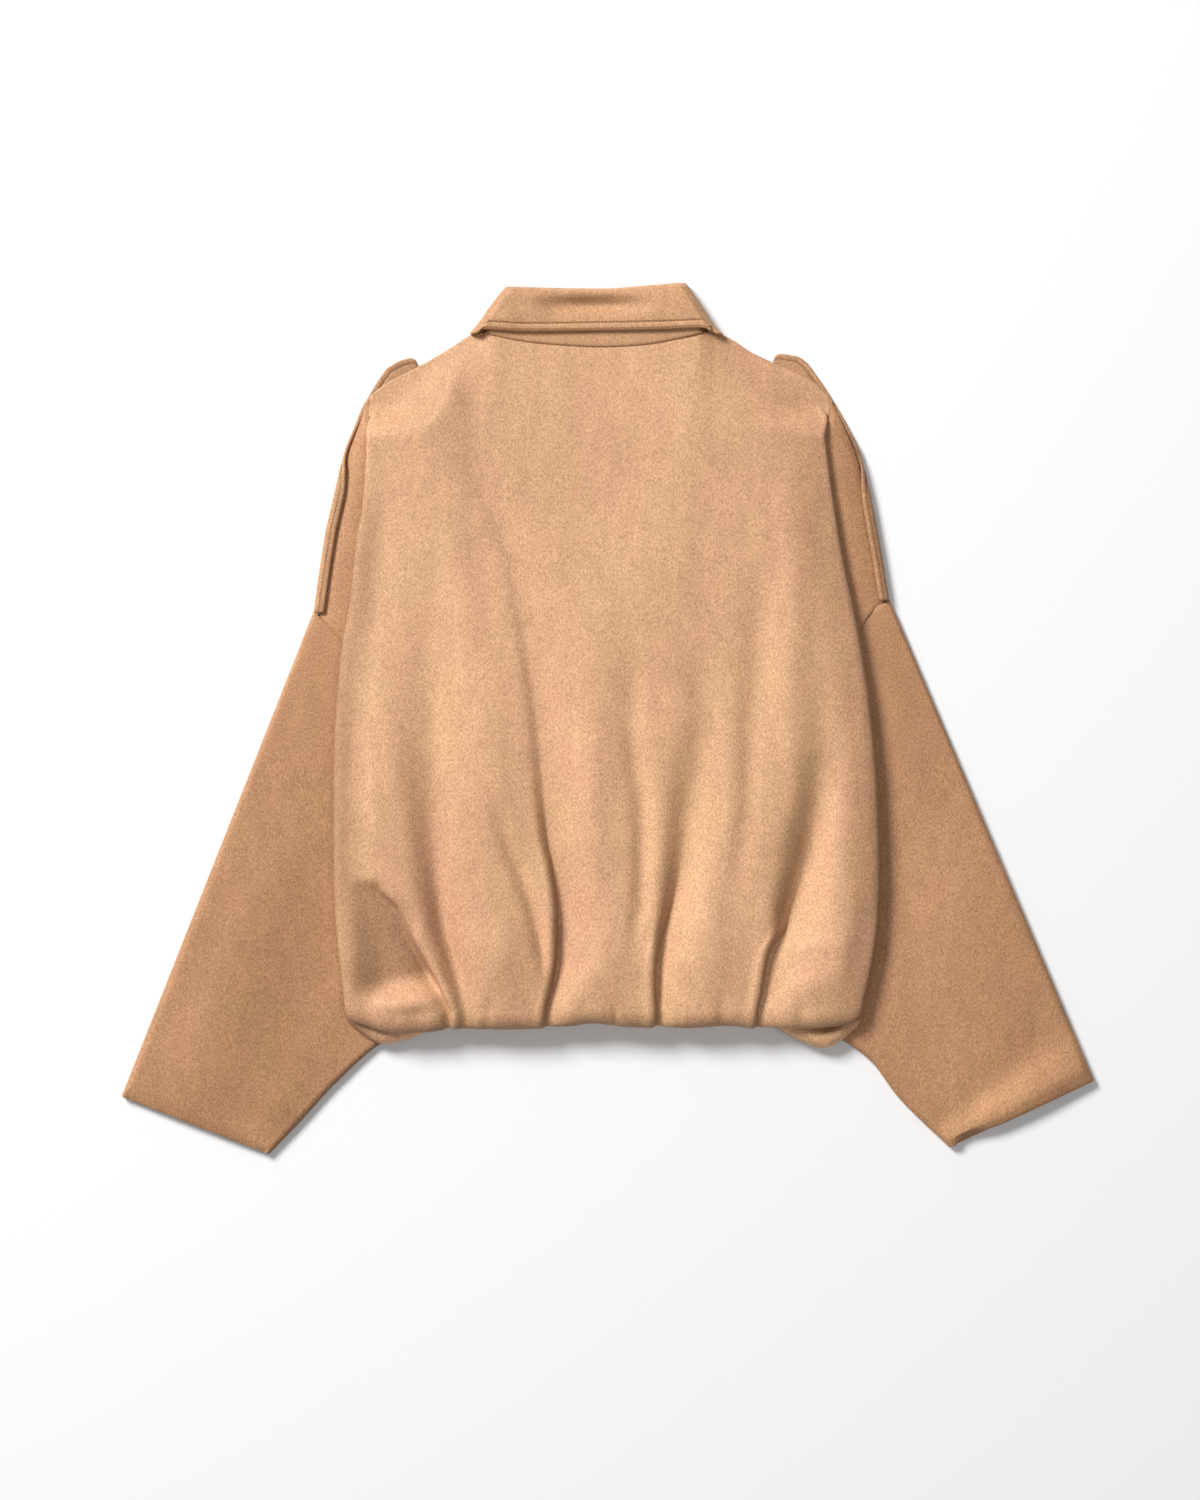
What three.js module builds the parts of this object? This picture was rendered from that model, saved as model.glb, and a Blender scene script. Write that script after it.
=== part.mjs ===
// Cropped suede jacket with a gathered bubble hem, laid flat on its front.
// Millimetres, +Z up. X runs across the back, Y from the hem towards the collar.
// The floor is Z = 0 and the back panel faces up.
import * as THREE from "three";

// driving dimensions
const clothThickness = 1.5;
const collarThickness = 2.4;
const strapThickness = 2.5;
const strapWidth = 38;
const shoulderY = 295;          // where the shoulder turns down into the side
const underarmY = -262;
const seamLevel = 10.4;         // outer face of the back where it meets the sleeve
const shoulderLevel = 6.2;      // outer face of the back along the shoulder seam
const neckLevel = 13.8;         // outer face of the back along the neck seam
const standLevel = 15.8;        // outer face of the collar stand, which laps over that edge
const valleyGap = 1.2;          // half the gap inside the tucked side fold
const frontLift = 2.8;          // the front lies this high where strap or collar is below it
const foldRadius = 10;          // roll of the side fold over the sleeve
const domeRise = 5;
const hemRadius = 11;
const hemReturnLevel = 16.2;
const hemReturnLength = 35;
const frontHemRadius = 5.2;
const frontHemReturn = 25;
const placketCentre = -8;
const placketHalf = 12;
const placketLift = 1.8;
const seamGap = 0.4;
const sleeveLevel = 8.5;
const sleeveBelly = 5;

const suede = { color: 0xd2a27a, roughness: 0.92, metalness: 0 };

// the shoulder edge, then the armhole seam down to the underarm, for each side (x outward)
const sideSeam = {
  left: [
    { y: 295, x: 226 }, { y: 276, x: 231.8 }, { y: 258, x: 238.8 }, { y: 234, x: 245.8 },
    { y: 177, x: 259.8 }, { y: 103, x: 271 }, { y: 88, x: 260 }, { y: 73, x: 247 },
    { y: 20, x: 236 }, { y: -60, x: 220 }, { y: -145, x: 200 }, { y: -215, x: 180 },
    { y: -262, x: 166 }],
  right: [
    { y: 295, x: 209 }, { y: 280, x: 217 }, { y: 251, x: 229.8 }, { y: 212, x: 240.8 },
    { y: 173, x: 248.8 }, { y: 114, x: 259 }, { y: 103, x: 247 }, { y: 81, x: 233 },
    { y: 20, x: 222 }, { y: -60, x: 206 }, { y: -145, x: 188 }, { y: -215, x: 172 },
    { y: -262, x: 160 }],
};
const armholeTop = { left: 103, right: 114 };

// the side fold of the back, which lies over the shoulder strip and the sleeve
const sideFold = {
  left: [
    { y: 284, x: 226 }, { y: 260, x: 225 }, { y: 197, x: 229 }, { y: 170, x: 234 },
    { y: 105, x: 241 }, { y: 73, x: 247 }, { y: 20, x: 252 }, { y: -35, x: 255 },
    { y: -145, x: 255 }, { y: -201, x: 252 }, { y: -237, x: 248 }, { y: -280, x: 243 }],
  right: [
    { y: 286, x: 204 }, { y: 271, x: 202 }, { y: 243, x: 205 }, { y: 206, x: 210 },
    { y: 142, x: 221 }, { y: 105, x: 229 }, { y: 79, x: 234 }, { y: 9, x: 245 },
    { y: -72, x: 252 }, { y: -145, x: 254 }, { y: -190, x: 252 }, { y: -237, x: 245 },
    { y: -280, x: 234 }],
};
// lower edge of the layer under each side fold: the lip at the hem's corner
const lipEdge = {
  left: [
    { x: 160, y: -284 }, { x: 195, y: -296 }, { x: 211, y: -300 }, { x: 226, y: -292 },
    { x: 240, y: -282 }],
  right: [
    { x: 154, y: -284 }, { x: 183, y: -297 }, { x: 206, y: -304 }, { x: 218, y: -297 },
    { x: 230, y: -285 }],
};
const topEdge = [
  { x: -228, y: 295 }, { x: -220, y: 304 }, { x: -204, y: 316 }, { x: -176, y: 330 },
  { x: -156, y: 341 }, { x: -122, y: 361 }, { x: -90, y: 355 }, { x: -61, y: 351 },
  { x: -5, y: 348 }, { x: 33, y: 350 }, { x: 72, y: 357 }, { x: 96, y: 362 },
  { x: 141, y: 339 }, { x: 155, y: 333 }, { x: 191, y: 316 }, { x: 202, y: 306 },
  { x: 212, y: 295 }];
const hemEdge = [
  { x: -243, y: -280 }, { x: -191, y: -291 }, { x: -160, y: -290 }, { x: -145, y: -287 },
  { x: -102, y: -287 }, { x: -52, y: -286 }, { x: -7, y: -281 }, { x: 14, y: -285 },
  { x: 86, y: -286 }, { x: 100, y: -283 }, { x: 129, y: -286 }, { x: 173, y: -287 },
  { x: 224, y: -283 }, { x: 236, y: -279 }];

// lines that the columns of the back follow, so that its folds fall on them
const guides = {
  corner: [
    { y: 300, x: -198 }, { y: 81, x: -208 }, { y: -150, x: -206 }, { y: -167, x: -203 },
    { y: -193, x: -188 }, { y: -213, x: -177 }, { y: -243, x: -162 }, { y: -286, x: -141 }],
  furrow: [
    { y: 360, x: -120 }, { y: 300, x: -150 }, { y: 246, x: -158 }, { y: 81, x: -165 },
    { y: -134, x: -160 }, { y: -191, x: -148 }, { y: -240, x: -132 }, { y: -286, x: -114 }],
  left: [
    { y: 360, x: -80 }, { y: 300, x: -110 }, { y: 246, x: -125 }, { y: 189, x: -104 },
    { y: 128, x: -85 }, { y: 44, x: -71 }, { y: -27, x: -62 }, { y: -106, x: -52 },
    { y: -226, x: -47 }, { y: -290, x: -53 }],
  right: [
    { y: 360, x: 92 }, { y: 110, x: 88 }, { y: 7, x: 88 }, { y: -41, x: 79 },
    { y: -97, x: 72 }, { y: -149, x: 62 }, { y: -190, x: 56 }, { y: -209, x: 48 },
    { y: -254, x: 43 }, { y: -279, x: 47 }],
  outer: [
    { y: 300, x: 183 }, { y: 200, x: 190 }, { y: 60, x: 203 }, { y: -50, x: 198 },
    { y: -101, x: 192 }, { y: -158, x: 177 }, { y: -190, x: 167 }, { y: -206, x: 157 },
    { y: -245, x: 142 }, { y: -280, x: 135 }],
};

// soft troughs and sharp pleats: depth at full strength, reach to either side, a lip that
// overhangs the trough (left or right of it), and where the fold fades in and out
const folds = [
  { line: guides.corner, depth: 6, left: 20, right: 3, lip: 1, top: -150, full: -190, out: -300 },
  { line: guides.furrow, depth: 6, left: 12, right: 12, lip: 0, top: 130, full: -60, out: -230 },
  { line: guides.left, depth: 8, left: 3, right: 16, lip: -1, top: 246, full: -150, out: -300 },
  { line: guides.right, depth: 8, left: 3, right: 16, lip: -1, top: 110, full: -150, out: -300 },
  { line: guides.outer, depth: 9, left: 4, right: 30, lip: -1, top: 20, full: -150, out: -300 },
];
// broad swells and hollows of the cloth
const swells = [
  { x: -200, y: -195, reachX: 34, reachY: 24, rise: -7 },
  { x: -192, y: -255, reachX: 34, reachY: 14, rise: 3 },
  { x: -212, y: -20, reachX: 18, reachY: 120, rise: 2.5 },
  { x: -108, y: -50, reachX: 22, reachY: 110, rise: 3 },
  { x: -15, y: -70, reachX: 24, reachY: 130, rise: 3 },
  { x: 32, y: -60, reachX: 12, reachY: 120, rise: -3 },
  { x: 172, y: 40, reachX: 16, reachY: 140, rise: 2.5 },
  { x: 218, y: -215, reachX: 26, reachY: 40, rise: 3 },
];

function clamp01(t) {
  return Math.min(1, Math.max(0, t));
}

function smooth(from, to, value) {
  const t = clamp01((value - from) / (to - from));
  return t * t * (3 - 2 * t);
}

function mix(a, b, t) {
  return a + (b - a) * t;
}

// value of one column of a table at a key, straight between rows and held past its ends
function lookUp(table, keyName, valueName, key) {
  const rising = table[table.length - 1][keyName] > table[0][keyName];
  const rows = rising ? table : [...table].reverse();
  if (key <= rows[0][keyName]) return rows[0][valueName];
  for (let i = 1; i < rows.length; i += 1) {
    const a = rows[i - 1];
    const b = rows[i];
    if (key <= b[keyName]) {
      const t = (key - a[keyName]) / (b[keyName] - a[keyName]);
      return mix(a[valueName], b[valueName], t);
    }
  }
  return rows[rows.length - 1][valueName];
}

// the point a share t of the way from one point to another
function between(from, to, t) {
  return { x: mix(from.x, to.x, t), y: mix(from.y, to.y, t) };
}

const xAt = (table, y) => lookUp(table, "y", "x", y);
const yAt = (table, x) => lookUp(table, "x", "y", x);

// A wall from a grid of outer points: the inner face is moved in along the normals and the
// open edges are closed by a rim. keep(i, j) says which cells of the grid are cloth.
function wall(grid, thickness, { ring = false, keep = () => true } = {}) {
  const rows = grid.length;
  const columns = grid[0].length;
  const index = (i, j) => i * columns + (j % columns);
  const outer = grid.flat();
  const normals = outer.map(() => new THREE.Vector3());
  const cells = [];
  for (let i = 0; i < rows - 1; i += 1) {
    for (let j = 0; j < (ring ? columns : columns - 1); j += 1) {
      if (keep(i, j)) cells.push([index(i, j), index(i + 1, j), index(i + 1, j + 1), index(i, j + 1)]);
    }
  }
  const edgeOne = new THREE.Vector3();
  const edgeTwo = new THREE.Vector3();
  for (const [a, b, c, d] of cells) {
    edgeOne.subVectors(outer[c], outer[a]);
    edgeTwo.subVectors(outer[d], outer[b]);
    const normal = edgeOne.clone().cross(edgeTwo).normalize();
    for (const corner of [a, b, c, d]) normals[corner].add(normal);
  }
  const inner = outer.map((p, k) => p.clone().addScaledVector(normals[k].normalize(), -thickness));
  const shift = outer.length;
  const faces = [];
  const open = new Map();
  for (const [a, b, c, d] of cells) {
    faces.push([a, b, c], [a, c, d]);
    faces.push([a + shift, c + shift, b + shift], [a + shift, d + shift, c + shift]);
    for (const [p, q] of [[a, b], [b, c], [c, d], [d, a]]) {
      if (!open.delete(`${q},${p}`)) open.set(`${p},${q}`, [p, q]);
    }
  }
  for (const [p, q] of open.values()) {
    faces.push([q, p, p + shift], [q, p + shift, q + shift]);
  }
  const all = [...outer, ...inner];
  const used = new Map();
  const positions = [];
  const indices = faces.flat().map((k) => {
    if (!used.has(k)) {
      used.set(k, used.size);
      positions.push(all[k].x, all[k].y, all[k].z);
    }
    return used.get(k);
  });
  const geometry = new THREE.BufferGeometry();
  geometry.setAttribute("position", new THREE.Float32BufferAttribute(positions, 3));
  geometry.setIndex(indices);
  geometry.computeVertexNormals();
  return geometry;
}

// Columns of one side fold, from the seam at its hidden edge, round the valley, out along
// the underside and over the roll. across is measured outward, up from the floor.
function sideStations(side, y) {
  const folded = smooth(292, 236, y);
  const radius = mix(4, foldRadius, smooth(290, -120, y));
  const fold = xAt(sideFold[side], y);
  const seam = xAt(sideSeam[side], y);
  const valley = Math.min(fold - radius - 8, seam - 6);
  const low = seamLevel + 2 * valleyGap;
  const edge = mix(seamLevel, shoulderLevel, smooth(armholeTop[side] - 15, armholeTop[side], y));
  const inner = fold - 0.8 * radius;
  const table = [
    { across: seam, up: edge },
    { across: mix(seam, valley + 1, 0.5), up: seamLevel },
    { across: valley + 1, up: seamLevel },
    { across: valley, up: seamLevel + valleyGap },
    { across: valley + 1, up: low },
    { across: mix(valley + 1, inner, 0.33), up: low },
    { across: mix(valley + 1, inner, 0.66), up: low },
    { across: inner, up: low },
    { across: fold - 0.29 * radius, up: low + 0.29 * radius },
    { across: fold, up: low + radius },
    { across: fold - 0.29 * radius, up: low + 1.71 * radius },
    { across: fold - radius, up: low + 2 * radius }];
  return table.map((station, k) => ({
    across: mix(seam - 1.2 * k, station.across, folded),
    up: mix(shoulderLevel + 0.07 * k, station.up, folded),
  }));
}

const sideCount = 12;
const foldColumn = 9;

// Columns of the middle of the back: beside each guide, and evenly between guides.
function middleColumns() {
  const near = [
    { guide: "corner", offsets: [-8, -3, 0, 3, 7], before: 1 },
    { guide: "furrow", offsets: [-9, 0, 9], before: 1 },
    { guide: "left", offsets: [-7, -3, 0, 3, 9], before: 3 },
    { guide: "right", offsets: [-7, -3, 0, 3, 9], before: 4 },
    { guide: "outer", offsets: [-7, -3, 0, 4, 12], before: 3 }];
  const columns = [];
  let last = (y) => -sideStations("left", y)[sideCount - 1].across;
  const spread = (from, to, count) => {
    for (let n = 1; n <= count; n += 1) {
      const t = n / (count + 1);
      columns.push((y) => mix(from(y), to(y), t));
    }
  };
  for (const { guide, offsets, before } of near) {
    const at = (offset) => (y) => xAt(guides[guide], y) + offset;
    spread(last, at(offsets[0]), before);
    offsets.forEach((offset) => columns.push(at(offset)));
    last = at(offsets[offsets.length - 1]);
  }
  spread(last, (y) => sideStations("right", y)[sideCount - 1].across, 2);
  return columns;
}

// how far a fold's trough, lip and overhang move the cloth at a point
function foldRelief(x, y) {
  let rise = 0;
  let shift = 0;
  for (const fold of folds) {
    const strength = smooth(fold.top, fold.full, y) * smooth(fold.out, fold.out + 60, y + 40);
    const away = x - xAt(fold.line, y);
    const reach = away < 0 ? fold.left : fold.right;
    rise -= fold.depth * strength * Math.exp(-((away / reach) ** 2));
    if (fold.lip !== 0) {
      const fromLip = (away - 4 * fold.lip) / 6;
      rise += 2 * strength * Math.exp(-(fromLip ** 2));
      shift -= 2.5 * fold.lip * strength * Math.exp(-(((away - 3 * fold.lip) / 2.5) ** 2));
    }
  }
  for (const swell of swells) {
    rise += swell.rise * Math.exp(-(((x - swell.x) / swell.reachX) ** 2)
      - (((y - swell.y) / swell.reachY) ** 2));
  }
  return { rise, shift };
}

const backRows = [
  0, 0.02, 0.05, 0.09, 0.14, 0.2, 0.26, 0.312, 0.331, 0.357, 0.383, 0.42, 0.47, 0.53,
  0.59, 0.65, 0.71, 0.76, 0.81, 0.86, 0.9, 0.935, 0.9603, 1];
const hemTurns = [36, 72, 108, 144, 180];
const hemReturns = [0.4, 1];

function backPoint(column, rowIndex, middle) {
  const bodyRows = backRows.length;
  const v = backRows[Math.min(rowIndex, bodyRows - 1)];
  const turn = rowIndex < bodyRows ? 0 : hemTurns[Math.min(rowIndex - bodyRows, hemTurns.length - 1)];
  const returned = hemReturns[rowIndex - bodyRows - hemTurns.length] ?? 0;
  const angle = THREE.MathUtils.degToRad(turn);
  const total = 2 * sideCount + middle.length;
  const isLeft = column < sideCount;
  const isSide = isLeft || column >= total - sideCount;
  let x;
  let y;
  let up;
  let rise = 0;
  let settled;
  if (isSide) {
    const side = isLeft ? "left" : "right";
    const sign = isLeft ? -1 : 1;
    const k = isLeft ? column : total - 1 - column;
    const first = sideStations(side, -280)[k];
    const bottom = k < foldColumn
      ? yAt(lipEdge[side], first.across)
      : yAt(hemEdge, sign * first.across) + hemRadius;
    y = mix(shoulderY, bottom, v);
    const station = sideStations(side, y)[k];
    x = sign * station.across;
    up = station.up;
    settled = sign * (xAt(sideFold[side], y) - 12 - 2.8 * (k - foldColumn));
  } else {
    const columnX = middle[column - sideCount];
    let top = 340;
    for (let n = 0; n < 6; n += 1) top = yAt(topEdge, columnX(top));
    const bottom = yAt(hemEdge, columnX(-275)) + hemRadius;
    y = mix(top, bottom, v);
    x = columnX(y);
    const left = sideStations("left", y)[sideCount - 1];
    const right = sideStations("right", y)[sideCount - 1];
    const across = (x + left.across) / (right.across + left.across);
    const dome = domeRise * (1 - Math.abs(2 * across - 1) ** 2.5);
    const full = mix(left.up, right.up, clamp01(across)) + dome;
    const edge = mix(neckLevel, shoulderLevel + 0.8, smooth(95, 165, Math.abs(x + 12)));
    const blend = smooth(-8, 110, top - y);
    up = mix(edge, full, blend);
    const relief = foldRelief(x, y);
    rise = relief.rise * smooth(0, 60, top - y);
    settled = x;
    x += relief.shift * Math.max(0, Math.cos(angle));
  }
  const middleUp = (up + hemReturnLevel) / 2;
  const turned = Math.sin(angle / 2) ** 2;
  return new THREE.Vector3(
    mix(x, settled, turned),
    y - (hemRadius + rise) * Math.sin(angle) + hemReturnLength * returned,
    middleUp + (up - middleUp) * Math.cos(angle) + rise * Math.max(0, Math.cos(angle)),
  );
}

function backGeometry() {
  const middle = middleColumns();
  const total = 2 * sideCount + middle.length;
  const rowCount = backRows.length + hemTurns.length + hemReturns.length;
  const grid = Array.from({ length: rowCount }, (_, i) => (
    Array.from({ length: total }, (__, j) => backPoint(j, i, middle))));
  const lastBody = backRows.length - 1;
  const keep = (i, j) => {
    const k = Math.min(j, total - 2 - j);
    if (i >= lastBody) return k >= foldColumn;
    return i < lastBody - 1 || k >= 4;
  };
  return wall(grid, clothThickness, { keep });
}

// One front panel, face down. Its outer face is below, and its hem rolls up and in.
function frontGeometry(side) {
  const sign = side === "left" ? -1 : 1;
  const seam = sideSeam[side];
  const bottom = -272;
  const centre = sign === -1 ? placketCentre + placketHalf : placketCentre - placketHalf;
  const acrossSteps = [0, 0.09, 0.18, 0.3, 0.46, 0.62, 0.78, 0.9, 0.95, 1];
  const rows = [...seam.map((row) => row.y), bottom];
  const turns = [36, 72, 108, 144, 180];
  const returns = [0.5, 1];
  const neckFront = { x: placketCentre, y: 302 };
  const topOf = (x) => {
    const corner = sign === -1 ? -118 : 92;
    const past = (x - corner) * sign;
    if (past > 0) return yAt(topEdge, x) - seamGap;
    const t = clamp01((x - corner) / (neckFront.x - corner));
    return mix(359.5, neckFront.y, t);
  };
  const grid = [];
  const addRow = (rowY, angle, back) => {
    grid.push(acrossSteps.map((t) => {
      const v = (shoulderY - rowY) / (shoulderY - bottom);
      const shoulderInset = 5 * smooth(armholeTop[side] - 12, armholeTop[side], rowY);
      const seamX = rowY < underarmY ? seam[seam.length - 1].x - 16 : xAt(seam, rowY);
      const edgeX = sign * (seamX - shoulderInset);
      const x = mix(edgeX, centre, t);
      const top = topOf(mix(sign * seam[0].x, centre, t));
      const y = mix(top, bottom, v);
      const fromEdge = Math.abs(x - edgeX);
      const besideStrap = smooth(armholeTop[side] - 26, armholeTop[side] - 13, y);
      const overStrap = smooth(72, 46, fromEdge) * besideStrap;
      const overCollar = smooth(205, 245, y);
      const overLap = sign === -1 ? smooth(centre - 50, centre - 26, x) : 0;
      const lift = frontLift * Math.max(overStrap, overCollar) + placketLift * overLap;
      const radius = frontHemRadius - placketLift * overLap;
      const roll = radius * (1 - Math.cos(angle));
      return new THREE.Vector3(x, y - radius * Math.sin(angle) + back, lift + roll);
    }));
  };
  rows.forEach((rowY) => addRow(rowY, 0, 0));
  turns.forEach((turn) => addRow(bottom, THREE.MathUtils.degToRad(turn), 0));
  returns.forEach((part) => addRow(bottom, Math.PI, frontHemReturn * part));
  if (sign === -1) grid.forEach((row) => row.reverse());
  return wall(grid, clothThickness);
}

// outline of each sleeve as it lies: cuff corners and the edge below the arm (x outward)
const sleeveShape = {
  left: {
    shoulder: { x: 275.5, y: 99.5 },
    cuffOuter: { x: 454, y: -351 },
    cuffInner: { x: 316, y: -405 },
    under: [
      { x: 166, y: -262 }, { x: 189, y: -293 }, { x: 208, y: -300 }, { x: 252, y: -337 },
      { x: 289, y: -377 }, { x: 316, y: -405 }],
  },
  right: {
    shoulder: { x: 263.5, y: 111 },
    cuffOuter: { x: 454, y: -336 },
    cuffInner: { x: 319, y: -399 },
    under: [
      { x: 160, y: -262 }, { x: 190, y: -286 }, { x: 219, y: -299 }, { x: 245, y: -318 },
      { x: 271, y: -352 }, { x: 319, y: -399 }],
  },
};

function alongPolyline(points, t) {
  const lengths = points.slice(1).map((p, i) => Math.hypot(p.x - points[i].x, p.y - points[i].y));
  let rest = clamp01(t) * lengths.reduce((sum, length) => sum + length, 0);
  for (let i = 0; i < lengths.length; i += 1) {
    if (rest <= lengths[i] || i === lengths.length - 1) {
      const f = Math.min(1, rest / lengths[i]);
      return between(points[i], points[i + 1], f);
    }
    rest -= lengths[i];
  }
  return points[points.length - 1];
}

// fraction of a polyline's length at each of its points
function fractions(points) {
  const sums = [0];
  for (let i = 1; i < points.length; i += 1) {
    sums.push(sums[i - 1] + Math.hypot(points[i].x - points[i - 1].x, points[i].y - points[i - 1].y));
  }
  return sums.map((sum) => sum / sums[sums.length - 1]);
}

// A sleeve is a flattened tube: a patch between four edge lines gives its plan, and rings
// of two flat layers with rounded edges give its height.
function sleeveGeometry(side) {
  const sign = side === "left" ? -1 : 1;
  const shape = sleeveShape[side];
  const seam = sideSeam[side].filter((row) => row.y < armholeTop[side]);
  const armhole = [shape.shoulder, ...seam.map((row) => ({ x: row.x + seamGap, y: row.y - 0.3 }))];
  const flat = (u, v) => {
    const a = alongPolyline(armhole, u);
    const c = between(shape.cuffOuter, shape.cuffInner, u);
    const outer = between(shape.shoulder, shape.cuffOuter, v);
    const under = alongPolyline(shape.under, v);
    const corner = (key) => mix(
      mix(armhole[0][key], armhole[armhole.length - 1][key], u),
      mix(shape.cuffOuter[key], shape.cuffInner[key], u), v);
    const patch = (key) => mix(a[key], c[key], v) + mix(outer[key], under[key], u) - corner(key);
    return { x: patch("x"), y: patch("y") };
  };
  const steps = fractions(armhole);
  const lengthRows = [0, 0.04, 0.1, 0.17, 0.25, 0.34, 0.44, 0.54, 0.64, 0.74, 0.83, 0.9, 0.96, 1];
  const grid = lengthRows.map((v) => {
    const start = flat(0, v);
    const end = flat(1, v);
    const width = Math.hypot(end.x - start.x, end.y - start.y);
    const level = mix(sleeveLevel, 10, smooth(0.2, 0.5, v));
    const radius = level / 2;
    const belly = sleeveBelly * smooth(0.3, 0.6, v) * (1 - 0.7 * smooth(0.8, 1, v));
    const ring = [];
    const push = (u, up) => {
      const p = flat(u, v);
      ring.push(new THREE.Vector3(sign * p.x, p.y, up));
    };
    const inset = radius / width;
    const inside = steps.slice(1, -1).map((u, n) => Math.min(
      Math.max(u, inset * (1.6 + 0.6 * n)), 1 - inset * (1.6 + 0.6 * (steps.length - 3 - n))));
    const topSteps = [inset, ...inside, 1 - inset];
    topSteps.forEach((u) => push(u, level + belly * Math.sin(Math.PI * u)));
    for (const turn of [45, 90, 135]) {
      const angle = THREE.MathUtils.degToRad(turn);
      push(1 - inset * (1 - Math.sin(angle)), radius * (1 + Math.cos(angle)));
    }
    [...topSteps].reverse().forEach((u) => push(u, 0));
    for (const turn of [45, 90, 135]) {
      const angle = THREE.MathUtils.degToRad(turn);
      push(inset * (1 - Math.sin(angle)), radius * (1 - Math.cos(angle)));
    }
    return sign === -1 ? ring : ring.reverse();
  });
  return wall(grid, clothThickness, { ring: true });
}

// Collar pieces go round the neck as a flattened band: a front part on the floor side, a
// bend at each side and the back part on top.
const collarSides = {
  leaf: {
    left: [{ y: 404, x: -96 }, { y: 386, x: -110 }, { y: 370, x: -121 }, { y: 361, x: -128.5 }],
    right: [{ y: 405, x: 74 }, { y: 386, x: 88 }, { y: 367, x: 100 }, { y: 360, x: 107.5 }],
  },
  stand: {
    left: [{ y: 399, x: -92 }, { y: 380, x: -102 }, { y: 361, x: -115 }],
    right: [{ y: 400, x: 70 }, { y: 380, x: 80 }, { y: 361, x: 90 }],
  },
};
const leafFold = [
  { x: -96, y: 404 }, { x: -50, y: 402.5 }, { x: -7, y: 402 }, { x: 40, y: 405 }, { x: 74, y: 408 }];
const leafEdge = [
  { x: -128, y: 362 }, { x: -118, y: 364 }, { x: -80, y: 362 }, { x: -5, y: 363 },
  { x: 53, y: 364 }, { x: 88, y: 365.5 }, { x: 107, y: 360 }];

function collarBand({ sides, topY, topUp, bottomUp, ends, rows, thickness }) {
  const across = [0, 0.12, 0.26, 0.4, 0.5, 0.6, 0.74, 0.88, 1];
  const front = [0, 0.3, 0.65, 1];
  const turns = [45, 90, 135];
  const grid = rows.map((b) => {
    const up = topUp(b);
    const radius = (up - bottomUp) / 2;
    const edge = (side) => {
      const table = sides[side];
      const y = mix(table[0].y, table[table.length - 1].y, b);
      return { x: xAt(table, y), y };
    };
    const left = edge("left");
    const right = edge("right");
    const end = (side) => between(ends[side].fold, ends[side].edge, b);
    const ring = [];
    const flatPart = (from, to, sign) => front.forEach((t) => {
      ring.push(new THREE.Vector3(mix(from.x, to.x + sign * radius, t), mix(from.y, to.y, t), bottomUp));
    });
    flatPart(end("left"), left, 1);
    for (const turn of turns) {
      const angle = THREE.MathUtils.degToRad(turn);
      ring.push(new THREE.Vector3(
        left.x + radius * (1 - Math.sin(angle)), left.y, bottomUp + radius * (1 - Math.cos(angle))));
    }
    for (const t of across) {
      const x = mix(left.x + radius, right.x - radius, t);
      ring.push(new THREE.Vector3(x, topY(x, b, mix(left.y, right.y, t)), up));
    }
    for (const turn of turns) {
      const angle = THREE.MathUtils.degToRad(turn);
      ring.push(new THREE.Vector3(
        right.x - radius * (1 - Math.sin(angle)), right.y, bottomUp + radius * (1 + Math.cos(angle))));
    }
    const other = [];
    front.forEach((t) => {
      const from = end("right");
      other.push(new THREE.Vector3(mix(from.x, right.x - radius, t), mix(from.y, right.y, t), bottomUp));
    });
    ring.push(...other.reverse());
    return ring;
  });
  return wall(grid, thickness);
}

function leafGeometry() {
  return collarBand({
    sides: collarSides.leaf,
    rows: [0, 0.03, 0.07, 0.15, 0.35, 0.6, 0.85, 1],
    bottomUp: 0,
    topUp: (b) => mix(13.2, 18.6, smooth(-0.01, 0.09, b)) + 1.6 * b,
    topY: (x, b) => {
      const roll = 0.8 * smooth(0, 0.03, b) - 0.8 * smooth(0.03, 0.1, b);
      return mix(yAt(leafFold, x) - 0.8, yAt(leafEdge, x * 1.02), clamp01((b - 0.03) / 0.97)) + roll;
    },
    ends: {
      left: { fold: { x: -14, y: 345 }, edge: { x: -50, y: 270 } },
      right: { fold: { x: -2, y: 345 }, edge: { x: 34, y: 270 } },
    },
    thickness: collarThickness,
  });
}

function standGeometry() {
  return collarBand({
    sides: collarSides.stand,
    rows: [0, 0.25, 0.5, 0.75, 1],
    bottomUp: frontLift,
    topUp: (b) => mix(13.6, standLevel, smooth(0, 0.6, b)),
    topY: (x, b) => mix(yAt(leafFold, x) - 3.4, yAt(topEdge, x), b),
    ends: {
      left: { fold: { x: -15, y: 341 }, edge: { x: -13, y: 305.4 } },
      right: { fold: { x: -1, y: 341 }, edge: { x: -3, y: 305.4 } },
    },
    thickness: clothThickness,
  });
}

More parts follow.
